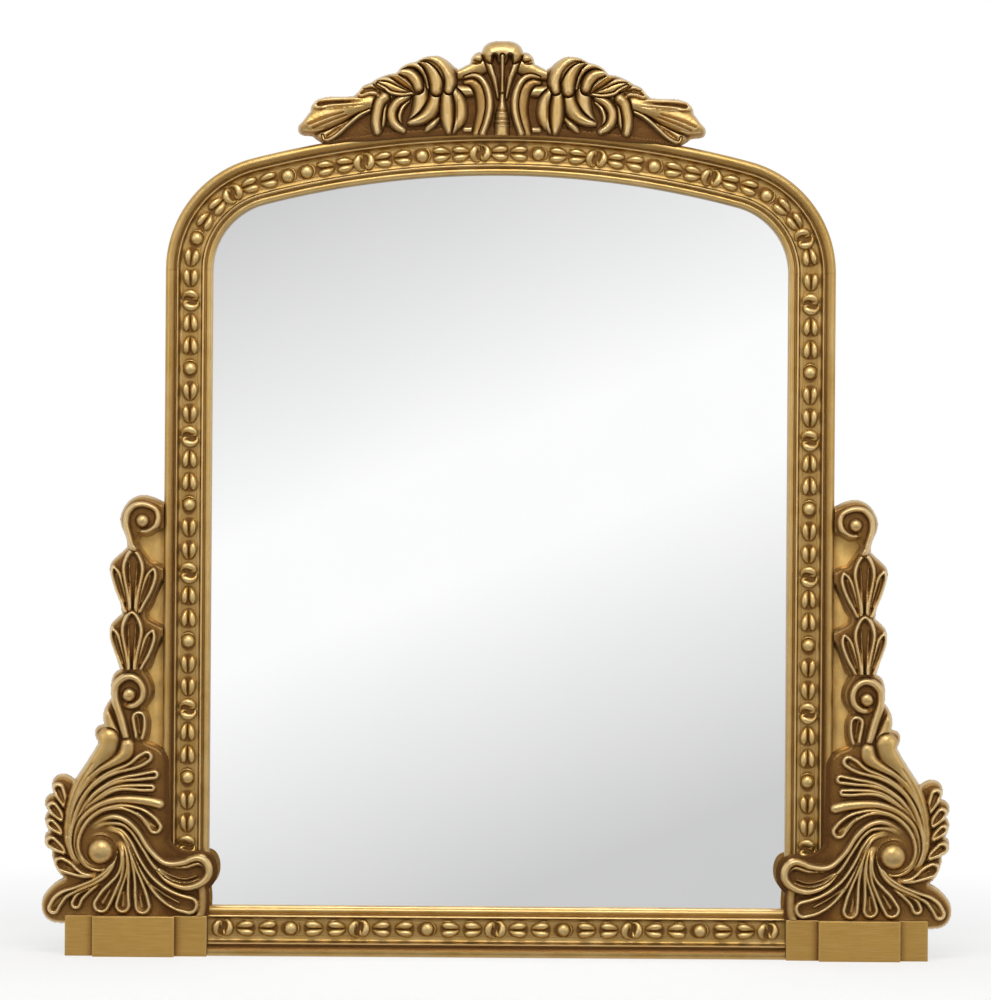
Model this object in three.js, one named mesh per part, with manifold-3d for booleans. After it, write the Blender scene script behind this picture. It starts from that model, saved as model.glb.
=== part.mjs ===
// Gilt overmantel mirror: an arched moulded frame with a carved crest, a scrolled acanthus bracket
// on each side, two plinths, the glass with its backing board, and the fittings on the back.
//
// Millimetres. The mirror is drawn in the plane of the wall: x to the right, y up from the floor of the
// plinths, z out from the back of the frame towards the room. The last group turns that drawing upright,
// so that +Z is up and the mirror faces -Y, and puts the origin under the middle of its box.

import * as THREE from 'three';
import { mergeVertices } from 'three/addons/utils/BufferGeometryUtils.js';
import Module from 'manifold-3d';

const wasm = await Module();
wasm.setup();

// ---------------------------------------------------------------- driving dimensions (mm)
const GAP = 0.3; // left between neighbouring pieces

// sight opening and its three-centred arch
const SIGHT_HALF_WIDTH = 376;
const SIGHT_BOTTOM = 64;
const SPRING_HEIGHT = 893;
const ARCH_RISE = 127; // top of the opening above the springing
const CORNER_RADIUS = 90;

// frame moulding, measured outwards from the sight edge and forwards from the back
const MOULDING_WIDTH = 60;
const MOULDING_DEPTH = 38;
const TORUS_RADIUS = 5.5;
const COVE_WIDTH = 3;
const OUTER_FILLET_WIDTH = 2.6;
const OUTER_FILLET_DEPTH = 32.5;
const CHANNEL_FLOOR_WIDTH = 20;
const CHANNEL_FLOOR_DEPTH = 24;
const CHANNEL_SIDE = 4;
const FILLET_SLOPE = 1.4; // width of the sloping side between a fillet and the channel
const FILLET_DROP = 3;
const INNER_FILLET_WIDTH = 2.4;
const INNER_FILLET_DEPTH = 30.5;
const LIP_WIDTH = 4.4;
const LIP_DEPTH = 24.5;
const LIP_ROUND = 2.5;
const LIP_GROOVE_DEPTH = 4;

// glass and backing board in the rebate
const REBATE_WIDTH = 8;
const GLASS_THICKNESS = 4;
const BOARD_THICKNESS = 3;
const REBATE_CLEARANCE = 1;

// bead strips in the channel
const RIBBON_WIDTH = 19;
const RIBBON_THICKNESS = 1.2;
const BEAD_HEIGHT = 8;
const PEARL_RADIUS = 7.6;
const BUD_LENGTH = 23;
const BUD_WIDTH = 16;
const SCROLL_LENGTH = 24;
const SCROLL_WIDTH = 13;
const SCROLL_LEAN = 0.6; // radians off the line of the strip
const STILE_STRIP_LIFT = 60; // above the plinth
const STILE_BEAD_LEAD = 30; // first bead from the end of its strip
const STILE_BEAD_PITCH = 29.6;
const ARCH_BEAD_LEAD = 16.5;
const ARCH_BEAD_PITCH = 25.3;
const RAIL_BEAD_LEAD = 19.2;
const RAIL_BEAD_PITCH = 29.6;

// plinths
const PLINTH_HEIGHT = 52.6;
const PLINTH_OVERHANG = 124.6; // beyond the side of the frame
const PLINTH_BASE_DEPTH = 44;
const PLINTH_BLOCK_LAP = 18; // in from the side of the frame
const PLINTH_BLOCK_WIDTH = 106;
const PLINTH_BLOCK_DEPTH = 12;
const PLINTH_EASE = 1;

// boards behind the carvings, and the carvings
const CARVING_BOARD_DEPTH = 18;
const SLAB_DEPTH = 42;
const SLAB_DRAFT = 5;
const CARVING_RELIEF = 9;
const PLUME_RELIEF = 10;
const BALL_RELIEF = 11;
const LOBE_ROOT = 2; // how far a lobe is let into its slab
const FULL_LOBE_HALF_WIDTH = 6; // a narrower lobe stands less proud
const PLUME_HALF_WIDTH = 58;
const HUSK_PITCH = 80;
const HUSK_BOTTOM = 372;

// fittings on the back
const PLATE_THICKNESS = 1.2;
const PLATE_WIDTH = 14;
const SCREW_RADIUS = 1.5;
const SCREW_HEAD_RADIUS = 3.3;
const SCREW_HEAD_HEIGHT = 1.5;
const SCREW_LENGTH = 11;
const SCREW_SETBACK = 19; // a plate's screw to the joint that the plate bridges
const CREST_PLATE_X = 90;
const BRACKET_PLATE_Y = 450;
const CLIP_LENGTH = 30;
const CLIP_TAIL = 7; // behind its screw
const CLIP_SETBACK = 9; // screw to the edge of the rebate
const STRAP_LENGTH = 50;
const STRAP_WIDTH = 12;
const STRAP_CURL = 1.72 * Math.PI;
const STRAP_SCREWS_FROM_TAIL = [6, 20];
const RING_WIRE_RADIUS = 1.5;
const RING_HALF_WIDTH = 11;
const RING_REACH = 19;
const RING_CORNER = 4;
const RING_PLAY = 0.4;
const HANGER_DROP = 93; // below the springing
const HANGER_INSET = 26; // in from the side of the frame
const PAD_RADIUS = 9;
const PAD_THICKNESS = 7;
const PAD_HEIGHT = 120;

// ---------------------------------------------------------------- sizes worked out from them
const GLASS_BACK = BOARD_THICKNESS + GAP;
const REBATE_DEPTH = GLASS_BACK + GLASS_THICKNESS + GAP;
const OUTER_HALF_WIDTH = SIGHT_HALF_WIDTH + MOULDING_WIDTH;
const SIGHT_TOP = SPRING_HEIGHT + ARCH_RISE;
const CORNER_X = SIGHT_HALF_WIDTH - CORNER_RADIUS;
const CROWN_RADIUS = (CORNER_X ** 2 + ARCH_RISE ** 2 - CORNER_RADIUS ** 2)
  / (2 * (ARCH_RISE - CORNER_RADIUS));
const CROWN_Y = SIGHT_TOP - CROWN_RADIUS;
const CROWN_HALF_ANGLE = Math.atan2(CORNER_X, SPRING_HEIGHT - CROWN_Y);
const OUTER_TOP = SIGHT_TOP + MOULDING_WIDTH;
const CHANNEL_FROM_EDGE = 2 * TORUS_RADIUS + COVE_WIDTH + OUTER_FILLET_WIDTH + FILLET_SLOPE;
const CHANNEL_CENTRE = MOULDING_WIDTH - CHANNEL_FROM_EDGE - CHANNEL_SIDE - CHANNEL_FLOOR_WIDTH / 2;
const OVERLAY_BACK = MOULDING_DEPTH + GAP;
const PLINTH_TOP = PLINTH_HEIGHT + GAP;
const PLINTH_OUTER = OUTER_HALF_WIDTH + PLINTH_OVERHANG;
const BACK_FACE = -GAP;
const PLATE_BACK = BACK_FACE - PLATE_THICKNESS;
const RING_HOLE_RADIUS = RING_WIRE_RADIUS + RING_PLAY;
const RING_AXIS_Z = BACK_FACE - PLATE_THICKNESS - RING_HOLE_RADIUS;
const HANGER_X = OUTER_HALF_WIDTH - HANGER_INSET;
const HANGER_HEIGHT = SPRING_HEIGHT - HANGER_DROP;
const CUT_REACH = 2 * MOULDING_WIDTH; // a cutting body ends this far past what it cuts

// ---------------------------------------------------------------- mesh helpers
const point = (x, y, z) => new THREE.Vector3(x, y, z);

function toSolid(geometry) {
  const bare = geometry.clone();
  bare.deleteAttribute('normal');
  bare.deleteAttribute('uv');
  const merged = mergeVertices(bare, 1e-4);
  return new wasm.Manifold(new wasm.Mesh({
    numProp: 3,
    vertProperties: new Float32Array(merged.attributes.position.array),
    triVerts: new Uint32Array(merged.index.array),
  }));
}

function toGeometry(solid) {
  const mesh = solid.getMesh();
  const geometry = new THREE.BufferGeometry();
  geometry.setAttribute('position', new THREE.BufferAttribute(mesh.vertProperties, 3));
  geometry.setIndex(new THREE.BufferAttribute(mesh.triVerts, 1));
  return geometry;
}

// Skin over rings of points; the first and last ring are capped, or joined when the loft is closed.
function loft(rings, closed = false) {
  const count = rings[0].length;
  const positions = rings.flat().flatMap((p) => [p.x, p.y, p.z]);
  const index = [];
  const last = closed ? rings.length : rings.length - 1;
  for (let r = 0; r < last; r++) {
    const next = (r + 1) % rings.length;
    for (let i = 0; i < count; i++) {
      const j = (i + 1) % count;
      const [a, b, c, d] = [r * count + i, r * count + j, next * count + j, next * count + i];
      index.push(a, b, c, a, c, d);
    }
  }
  if (!closed) {
    const end = (rings.length - 1) * count;
    for (const [p, q, s] of capTriangles(rings[0])) index.push(q, p, s);
    for (const [p, q, s] of capTriangles(rings.at(-1))) index.push(end + p, end + q, end + s);
  }
  const geometry = new THREE.BufferGeometry();
  geometry.setAttribute('position', new THREE.Float32BufferAttribute(positions, 3));
  geometry.setIndex(index);
  return signedVolume(geometry) < 0 ? flip(geometry) : geometry;
}

function capTriangles(ring) {
  const normal = new THREE.Vector3();
  ring.forEach((p, i) => normal.add(new THREE.Vector3().crossVectors(p, ring[(i + 1) % ring.length])));
  const side = new THREE.Vector3().subVectors(ring[1], ring[0]).normalize();
  const up = new THREE.Vector3().crossVectors(normal.normalize(), side);
  const flat = ring.map((p) => new THREE.Vector2(p.dot(side), p.dot(up)));
  return THREE.ShapeUtils.triangulateShape(flat, []);
}

function signedVolume(geometry) {
  const [a, b, c] = [point(), point(), point()];
  const { array } = geometry.index;
  let volume = 0;
  for (let i = 0; i < array.length; i += 3) {
    a.fromBufferAttribute(geometry.attributes.position, array[i]);
    b.fromBufferAttribute(geometry.attributes.position, array[i + 1]);
    c.fromBufferAttribute(geometry.attributes.position, array[i + 2]);
    volume += a.dot(b.cross(c));
  }
  return volume;
}

function flip(geometry) {
  const { array } = geometry.index;
  for (let i = 0; i < array.length; i += 3) [array[i], array[i + 1]] = [array[i + 1], array[i]];
  return geometry;
}

const union = (solids) => solids.reduce((sum, solid) => sum.add(solid));

function box(x0, x1, y0, y1, z0, z1) {
  const geometry = new THREE.BoxGeometry(x1 - x0, y1 - y0, z1 - z0);
  return geometry.translate((x0 + x1) / 2, (y0 + y1) / 2, (z0 + z1) / 2);
}

function extrude(shape, z0, z1, curveSegments = 7) {
  const geometry = new THREE.ExtrudeGeometry(shape, { depth: z1 - z0, bevelEnabled: false, curveSegments });
  return geometry.translate(0, 0, z0);
}

const shapeOf = (points) => new THREE.Shape(points.map(([x, y]) => new THREE.Vector2(x, y)));

function arc(cx, cy, radius, from, to, steps) {
  return Array.from({ length: steps + 1 }, (_, i) => {
    const angle = from + ((to - from) * i) / steps;
    return [cx + radius * Math.cos(angle), cy + radius * Math.sin(angle)];
  });
}

const mirrored = (points) => points.map(([x, ...rest]) => [-x, ...rest]).reverse();

// ---------------------------------------------------------------- frame moulding
// Section as [distance from the sight edge, distance from the back], anticlockwise from the rebate.
function mouldingSection(width) {
  const torusCentre = width - TORUS_RADIUS;
  const shoulder = MOULDING_DEPTH - TORUS_RADIUS;
  const coveStart = width - 2 * TORUS_RADIUS;
  const filletOuter = coveStart - COVE_WIDTH;
  const filletInner = filletOuter - OUTER_FILLET_WIDTH;
  const channelEnd = width - CHANNEL_FROM_EDGE;
  const floorEnd = channelEnd - CHANNEL_SIDE;
  const floorStart = floorEnd - CHANNEL_FLOOR_WIDTH;
  const channelStart = floorStart - CHANNEL_SIDE;
  const innerFillet = channelStart - FILLET_SLOPE;
  return [
    [REBATE_WIDTH, 0],
    [width, 0],
    ...arc(torusCentre, shoulder, TORUS_RADIUS, 0, Math.PI, 4),
    [coveStart - COVE_WIDTH / 2, shoulder - TORUS_RADIUS],
    [filletOuter, OUTER_FILLET_DEPTH],
    [filletInner, OUTER_FILLET_DEPTH],
    [channelEnd, OUTER_FILLET_DEPTH - FILLET_DROP],
    [floorEnd, CHANNEL_FLOOR_DEPTH],
    [floorStart, CHANNEL_FLOOR_DEPTH],
    [channelStart, INNER_FILLET_DEPTH - FILLET_DROP],
    [innerFillet, INNER_FILLET_DEPTH],
    [innerFillet - INNER_FILLET_WIDTH, INNER_FILLET_DEPTH],
    [LIP_WIDTH + 1, LIP_DEPTH - LIP_GROOVE_DEPTH],
    [LIP_WIDTH, LIP_DEPTH - 1],
    [LIP_WIDTH / 2, LIP_DEPTH],
    [0, LIP_DEPTH - LIP_ROUND],
    [0, REBATE_DEPTH],
    [REBATE_WIDTH, REBATE_DEPTH],
  ];
}

// Places on the arch at a given distance from the sight edge, as a function of an angle from the middle.
function archPoint(angle, offset) {
  const side = Math.sign(angle);
  const turn = Math.abs(angle);
  const onCrown = turn <= CROWN_HALF_ANGLE;
  const radius = (onCrown ? CROWN_RADIUS : CORNER_RADIUS) + offset;
  const cx = onCrown ? 0 : CORNER_X;
  const cy = onCrown ? CROWN_Y : SPRING_HEIGHT;
  return [side * (cx + radius * Math.sin(turn)), cy + radius * Math.cos(turn)];
}

function archAngles(cornerSteps, crownSteps) {
  const right = [];
  for (let i = 0; i <= crownSteps; i++) right.push((CROWN_HALF_ANGLE * i) / crownSteps);
  for (let i = 1; i <= cornerSteps; i++) {
    right.push(CROWN_HALF_ANGLE + ((Math.PI / 2 - CROWN_HALF_ANGLE) * i) / cornerSteps);
  }
  return [...right.slice(1).map((a) => -a).reverse(), ...right];
}

// A section swept round the arch; sections are [offset from the sight edge, depth].
function sweepArch(section, angles) {
  return loft(angles.map((angle) => section.map(([offset, depth]) => {
    const [x, y] = archPoint(angle === 0 ? 1e-9 : angle, offset);
    return point(x, y, depth);
  })));
}

const archStations = archAngles(8, 5);

function stile(side) {
  const ends = [PLINTH_TOP, SPRING_HEIGHT - GAP];
  const rings = ends.map((y) => mouldingSection(MOULDING_WIDTH).map(
    ([offset, depth]) => point(side * (SIGHT_HALF_WIDTH + offset), y, depth)));
  return loft(rings);
}

function bottomRail() {
  const ends = [-SIGHT_HALF_WIDTH + GAP, SIGHT_HALF_WIDTH - GAP];
  const rings = ends.map((x) => mouldingSection(SIGHT_BOTTOM).map(
    ([offset, depth]) => point(x, SIGHT_BOTTOM - offset, depth)));
  return loft(rings);
}

// ---------------------------------------------------------------- bead strips
// A bead is a low faceted dome: round for a pearl, longer for a bud, long and leaning for a scroll.
const BEADS = {
  pearl: { along: PEARL_RADIUS, across: PEARL_RADIUS, lean: 0 },
  bud: { along: BUD_LENGTH / 2, across: BUD_WIDTH / 2, lean: 0 },
  scroll: { along: SCROLL_LENGTH / 2, across: SCROLL_WIDTH / 2, lean: SCROLL_LEAN },
};
const BEAD_ORDER = ['scroll', 'bud', 'bud', 'pearl', 'bud', 'bud'];
const BEAD_SIDES = 5;
const LEAD_COUNT = 2; // the strip of the arch starts this many beads into the order
const SEAM_COUNT = 8; // it was pieced after this many, where a pearl comes twice

function beadAt(kind, x, y, heading) {
  const { along, across, lean } = BEADS[kind];
  const floor = CHANNEL_FLOOR_DEPTH + GAP + RIBBON_THICKNESS / 2;
  const crown = floor + BEAD_HEIGHT;
  const levels = [[1, floor], [0.72, floor + BEAD_HEIGHT * 0.72]];
  const rings = levels.map(([share, z]) => Array.from({ length: BEAD_SIDES }, (_, i) => {
    const angle = (2 * Math.PI * (i + 0.5)) / BEAD_SIDES;
    const local = new THREE.Vector2(along * share * Math.cos(angle), across * share * Math.sin(angle));
    local.rotateAround(new THREE.Vector2(), heading + lean);
    return point(x + local.x, y + local.y, z);
  }));
  rings.push(rings[0].map(() => point(x, y, crown)));
  return toSolid(loft(rings));
}

function ribbonSection() {
  const from = CHANNEL_CENTRE - RIBBON_WIDTH / 2;
  const to = from + RIBBON_WIDTH;
  const floor = CHANNEL_FLOOR_DEPTH + GAP;
  return [[from, floor], [to, floor], [to, floor + RIBBON_THICKNESS], [from, floor + RIBBON_THICKNESS]];
}

function stileBeads(side) {
  const bottom = PLINTH_TOP + STILE_STRIP_LIFT;
  const ribbon = loft([bottom, SPRING_HEIGHT - GAP].map((y) => ribbonSection().map(
    ([offset, depth]) => point(side * (SIGHT_HALF_WIDTH + offset), y, depth))));
  const beads = [];
  for (let y = bottom + STILE_BEAD_LEAD, i = 0; y < SPRING_HEIGHT - PEARL_RADIUS; y += STILE_BEAD_PITCH, i++) {
    const kind = BEAD_ORDER[i % BEAD_ORDER.length];
    beads.push(beadAt(kind, side * (SIGHT_HALF_WIDTH + CHANNEL_CENTRE), y, Math.PI / 2));
  }
  return union([toSolid(ribbon), ...beads]);
}

function railBeads() {
  const half = SIGHT_HALF_WIDTH - GAP;
  const ribbon = loft([-half, half].map((x) => ribbonSection().map(
    ([offset, depth]) => point(x, MOULDING_WIDTH - offset, depth))));
  const beads = [];
  for (let x = -half + RAIL_BEAD_LEAD, i = 0; x < half - BEADS.bud.along; x += RAIL_BEAD_PITCH, i++) {
    beads.push(beadAt(BEAD_ORDER[i % BEAD_ORDER.length], x, MOULDING_WIDTH - CHANNEL_CENTRE, 0));
  }
  return union([toSolid(ribbon), ...beads]);
}

// Angle on the arch at a run along the line of the beads, measured from the left springing.
function archAngleAt(run) {
  const cornerRun = (CORNER_RADIUS + CHANNEL_CENTRE) * (Math.PI / 2 - CROWN_HALF_ANGLE);
  const crownRun = 2 * (CROWN_RADIUS + CHANNEL_CENTRE) * CROWN_HALF_ANGLE;
  if (run < cornerRun) return -Math.PI / 2 + run / (CORNER_RADIUS + CHANNEL_CENTRE);
  if (run < cornerRun + crownRun) {
    return -CROWN_HALF_ANGLE + (run - cornerRun) / (CROWN_RADIUS + CHANNEL_CENTRE);
  }
  return CROWN_HALF_ANGLE + (run - cornerRun - crownRun) / (CORNER_RADIUS + CHANNEL_CENTRE);
}

function archBeads() {
  const beads = [];
  for (let i = 0; ; i++) {
    const angle = archAngleAt(ARCH_BEAD_LEAD + ARCH_BEAD_PITCH * i);
    if (angle > Math.PI / 2 - PEARL_RADIUS / CORNER_RADIUS) break;
    const lead = i < SEAM_COUNT ? LEAD_COUNT : LEAD_COUNT - 1;
    const kind = BEAD_ORDER[(i + lead) % BEAD_ORDER.length];
    const [x, y] = archPoint(angle, CHANNEL_CENTRE);
    beads.push(beadAt(kind, x, y, -angle));
  }
  return union([toSolid(sweepArch(ribbonSection(), archStations)), ...beads]);
}

// ---------------------------------------------------------------- glass and backing board
function openingShape(grow, bottom) {
  const half = SIGHT_HALF_WIDTH + grow;
  const shape = new THREE.Shape();
  shape.moveTo(-half, bottom);
  shape.lineTo(half, bottom);
  shape.lineTo(half, SPRING_HEIGHT);
  shape.absarc(CORNER_X, SPRING_HEIGHT, CORNER_RADIUS + grow, 0, Math.PI / 2 - CROWN_HALF_ANGLE);
  shape.absarc(0, CROWN_Y, CROWN_RADIUS + grow, Math.PI / 2 - CROWN_HALF_ANGLE,
    Math.PI / 2 + CROWN_HALF_ANGLE);
  shape.absarc(-CORNER_X, SPRING_HEIGHT, CORNER_RADIUS + grow, Math.PI / 2 + CROWN_HALF_ANGLE, Math.PI);
  return shape;
}

const GLASS_GROW = REBATE_WIDTH - REBATE_CLEARANCE;
const GLASS_BOTTOM = SIGHT_BOTTOM - GLASS_GROW;

// ---------------------------------------------------------------- plinths
function plinthBase(side) {
  const [x0, x1] = [side * (SIGHT_HALF_WIDTH + GAP), side * PLINTH_OUTER].sort((a, b) => a - b);
  return box(x0, x1, 0, PLINTH_HEIGHT, 0, PLINTH_BASE_DEPTH);
}

function plinthBlock(side) {
  const centre = side * (OUTER_HALF_WIDTH - PLINTH_BLOCK_LAP + PLINTH_BLOCK_WIDTH / 2);
  const back = PLINTH_BASE_DEPTH + GAP;
  const front = back + PLINTH_BLOCK_DEPTH;
  return loft([[back, 0], [front - PLINTH_EASE, 0], [front, PLINTH_EASE]].map(([z, inset]) => {
    const half = PLINTH_BLOCK_WIDTH / 2 - inset;
    const top = PLINTH_HEIGHT - inset;
    return [point(centre - half, 0, z), point(centre + half, 0, z), point(centre + half, top, z),
      point(centre - half, top, z)];
  }));
}

// ---------------------------------------------------------------- carvings
// Outlines are [outwards from the frame, up] on the right-hand side of the mirror, and every lobe is a
// line of [outwards, up, half width]. A full lobe is domed; a hollow one has a raised rim on each side.

// Slab with sloping walls: the outline at the back, drawn in by the draft at the front.
function draftedSlab(outline, z0, z1) {
  const turn = Math.sign(THREE.ShapeUtils.area(outline.map(([x, y]) => new THREE.Vector2(x, y))));
  const inner = outline.map((p, i) => {
    const before = new THREE.Vector2(...outline.at(i - 1));
    const after = new THREE.Vector2(...outline[(i + 1) % outline.length]);
    const along = after.sub(before).normalize().multiplyScalar(turn * SLAB_DRAFT);
    return [p[0] - along.y, p[1] + along.x];
  });
  return toSolid(loft([outline.map(([x, y]) => point(x, y, z0)), inner.map(([x, y]) => point(x, y, z1))]));
}

const FULL = [[-1, 0], [-0.72, 0.75], [0, 1], [0.72, 0.75], [1, 0]];
const HOLLOW = [[-1, 0], [-0.76, 1], [0, 0.4], [0.76, 1], [1, 0]];

function lobe(spine, section, relief = CARVING_RELIEF) {
  const rings = spine.map(([x, y, half], i) => {
    const before = spine[Math.max(i - 1, 0)];
    const after = spine[Math.min(i + 1, spine.length - 1)];
    const along = new THREE.Vector2(after[0] - before[0], after[1] - before[1]).normalize();
    const height = LOBE_ROOT + relief * Math.min(1, half / FULL_LOBE_HALF_WIDTH);
    return section.map(([across, up]) => point(
      x - along.y * across * half, y + along.x * across * half, SLAB_DEPTH - LOBE_ROOT + up * height));
  });
  return toSolid(loft(rings));
}

// A lobe's first ring is drawn out to a blunt nose by one more, narrower ring.
function nosed([first, second, ...rest]) {
  const run = Math.hypot(first[0] - second[0], first[1] - second[1]);
  const reach = (0.75 * first[2]) / run;
  const [x, y] = [0, 1].map((axis) => first[axis] + (first[axis] - second[axis]) * reach);
  return [[x, y, 0.45 * first[2]], first, second, ...rest];
}

function dome([x, y, radius], relief = CARVING_RELIEF) {
  const steps = 3;
  const profile = [[0, SLAB_DEPTH - LOBE_ROOT], [radius, SLAB_DEPTH - LOBE_ROOT]];
  for (let i = 1; i < steps; i++) {
    const angle = (Math.PI / 2) * (i / steps);
    profile.push([radius * Math.cos(angle), SLAB_DEPTH + relief * Math.sin(angle)]);
  }
  profile.push([0, SLAB_DEPTH + relief]);
  const geometry = new THREE.LatheGeometry(profile.map(([r, h]) => new THREE.Vector2(r, h)), 10);
  return toSolid(geometry.rotateX(Math.PI / 2).translate(x, y, 0));
}

const HUSK_OUTLINE = [
  [-4, 372], [57, 372], [61, 385], [67, 402], [70, 414], [70, 426], [65, 435], [55, 444], [57, 458],
  [63, 472], [68, 488], [71, 502], [68, 512], [58, 522], [47, 532], [51, 546], [56, 558], [57, 570],
  [52, 584], [43, 594], [30, 599], [16, 597], [-4, 590],
];
const HUSK_INNER_NOTCHES = [
  [[-8, 506], [-8, 555], [8, 552], [24, 543], [30, 536], [22, 522], [13, 513], [2, 507]],
  [[-8, 428], [-8, 506], [2, 490], [9, 472], [18, 448], [13, 436], [3, 430]],
  [[-8, 360], [-8, 428], [2, 412], [9, 395], [19, 372], [19, 360]],
];
const TOP_SCROLL = [
  [38, 529, 5.5], [47, 553, 4.8], [46, 575, 4.5], [30, 588, 4], [13, 582, 4], [9, 564, 4], [24, 553, 3],
];
const HUSK_EYE = [28, 563, 9];
const HUSK_PETALS = [
  [[62, 498, 6], [58, 481, 6.8], [48, 452, 3.4]],
  [[15, 496, 6], [20, 479, 6.8], [30, 452, 3.4]],
  [[39, 512, 10.5], [39, 500, 13.5], [39, 474, 9], [40, 450, 6]],
];

const ACANTHUS_OUTLINE = [
  [57, 371.7], [65, 367], [68, 358], [69, 340], [75, 328], [79, 314], [79, 303], [88, 296], [88, 286],
  [83, 277], [86, 270], [110, 234], [114, 229], [122, 233], [133, 235], [143, 229], [145, 216], [153, 203],
  [153, 193], [149, 186], [153, 175], [151, 162], [153, 152], [151, 140], [143, 134], [142, 122], [136, 108],
  [128, 99], [144, 89], [155, 75], [157, 62], [152, 50], [142, 43], [124, 40], [-62, 40], [-64, 61],
  [-62, 88], [-70, 99], [-73, 112], [-71, 126], [-65, 135], [-52, 138], [-10, 152], [-8, 262], [4, 272],
  [19, 279], [17, 292], [15, 306], [21, 324], [13, 338], [11, 349], [15, 361], [22, 371.7],
];
const SCROLL_BAND = [
  [49, 292, 5.6], [60, 326, 5.4], [61, 348, 5], [48, 362, 5], [31, 358, 4.8], [25, 343, 4.6], [34, 332, 4.4],
];
const ACANTHUS_BALL = [79, 136, 17];
const ACANTHUS_EYE = [43, 340, 9];
const ACANTHUS_FULL = [
  [[73, 287, 14], [76, 264, 15], [106, 223, 8], [120, 186, 6.4], [119, 140, 4.5]],
  [[45, 274, 9], [55, 259, 7.5], [74, 247, 5.4], [94, 232, 4]],
  [[4, 198, 7], [45, 204, 6.2], [88, 192, 4.9], [109, 165, 4], [107, 132, 3.2]],
  [[72, 316, 4], [67, 299, 7]],
  [[14, 132, 5.4], [34, 162, 6], [60, 177, 5.2], [86, 168, 4]],
];
const ACANTHUS_HOLLOW = [
  [[20, 259, 8.5], [38, 248, 6], [88, 227, 3.2]],
  [[11, 236, 6.5], [48, 230.5, 4.2], [90, 213, 2.8]],
  [[13, 219, 5], [52, 219, 4], [90, 203, 2.8]],
  [[8, 168, 8.5], [22, 184, 7.2], [46, 193, 4.2], [80, 188, 2.8]],
  [[-48, 110, 12], [-26, 106, 13], [-2, 115, 9.6], [14, 132, 6]],
  [[-33, 69, 9], [-14, 75, 10], [10, 95, 7], [34, 132, 4.6], [58, 164, 3.6]],
  [[23.5, 70, 9], [28, 92, 7], [38, 124, 3]],
  [[49.5, 72, 8.5], [46, 96, 5], [45, 126, 2.6]],
  [[77, 73, 10], [65, 88, 8.5], [52, 114, 3.6]],
  [[139, 62, 7], [130, 76, 7], [100, 92, 4], [78, 103, 3.6]],
  [[110, 68, 6.5], [100, 82, 5], [82, 95, 2.8]],
  [[130, 119, 9], [114, 110.5, 6.4], [90, 104, 2.6]],
  [[134, 216, 7.5], [124, 192, 3]],
  [[141, 192, 7], [128, 174, 2.6]],
  [[143, 171, 6], [129, 156, 2.6]],
  [[142, 147, 7.5], [122, 132, 2.8]],
  [[30, 309, 9], [31, 281, 4.4]],
];

// Crest outlines and lobes are [outwards from the middle, up from the top of the arch].
const PLUME_OUTLINE = [
  [0, 114], [10, 113.5], [18, 111], [24, 106], [30, 98], [38, 91], [45, 83], [52, 78],
  [PLUME_HALF_WIDTH - GAP, 77], [PLUME_HALF_WIDTH - GAP, -9], [0, -10],
];
const LEAVES_OUTLINE = [
  [PLUME_HALF_WIDTH, 77], [64, 81], [72, 88], [82, 93.5], [93, 93.5], [103, 91], [112, 86.5], [122, 84],
  [131, 79], [138, 71], [155, 67], [167, 60], [181, 54], [188, 46], [194, 41], [210, 40], [226, 39.5],
  [240, 36], [248, 28], [250, 20], [259, 9], [266, 1], [266, -6], [260, -10.5], [247, -12], [239, -17],
  [228, -23], [200, -17], [150, -13], [100, -10], [PLUME_HALF_WIDTH, -9],
];
const PLUME_FULL = [
  [[21, 92, 5], [13, 102, 8], [-13, 102, 8], [-21, 92, 5]],
  [[50, 78, 4], [38, 79, 5], [28, 74, 4]],
  [[0, 84, 2.4], [0, 38, 2.6], [0, 8, 8.5], [0, -8, 9.5]],
  [[47, 66, 3.2], [33, 66, 3.8], [19, 50, 4], [16, 24, 4], [25, -6, 5]],
  [[18, 96, 3.4], [16, 80, 2.8], [7, 50, 2.2]],
  [[36, 94, 4], [36, 86, 5]],
  [[52, 48, 5.5], [37, 48, 5.5]],
];
const LEAVES_FULL = [
  [[256, 1, 6], [240, 9, 9.4], [206, 22.5, 8], [176, 29, 5]],
  [[157, 38, 4], [161, 18, 4.5], [162, 0, 3.4]],
  [[140, 38, 3], [149, 20, 3], [156, -2, 2.4]],
  [[126, 38, 3], [141, 26, 4.8], [141, 9, 4.6], [131, -2, 2.6]],
  [[104, 46, 6], [106, 28, 7], [117, 8, 3]],
  [[87, 43, 4], [92, 23, 6.6], [109, 8.5, 3.4]],
  [[83, 10, 2.6], [97, -2, 3.4]],
  [[72, 38, 4], [70, 20, 7], [69, -2, 3]],
  [[161, 57, 3], [146, 48, 5], [118, 45, 3]],
  [[158, 61, 3], [138, 55, 4.4], [117, 46.5, 2.4]],
  [[184, 44, 4], [172, 46, 5], [158, 39, 4]],
  [[178, 52, 3], [161, 49, 3.4]],
  [[128, 71, 3], [115, 64, 5.6], [109, 52, 4.6]],
  [[130, 75, 3.5], [110, 78, 4.2], [98, 62, 4], [97, 51, 2.6]],
  [[103, 83, 4], [89, 71, 7.6], [86, 48, 7]],
  [[104, 88, 3], [90, 88, 4.4], [75, 72, 5], [72, 50, 3.4]],
];
const LEAVES_HOLLOW = [
  [[240, 28, 5], [210, 31, 5.6], [178, 30, 4.4]],
  [[227, -13, 5], [206, 8, 7], [178, 26, 5]],
  [[134, 66, 5], [112, 48.5, 4.4]],
];

const bracketToWorld = (points) => points.map(([u, ...rest]) => [OUTER_HALF_WIDTH + u, ...rest]);

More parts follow.
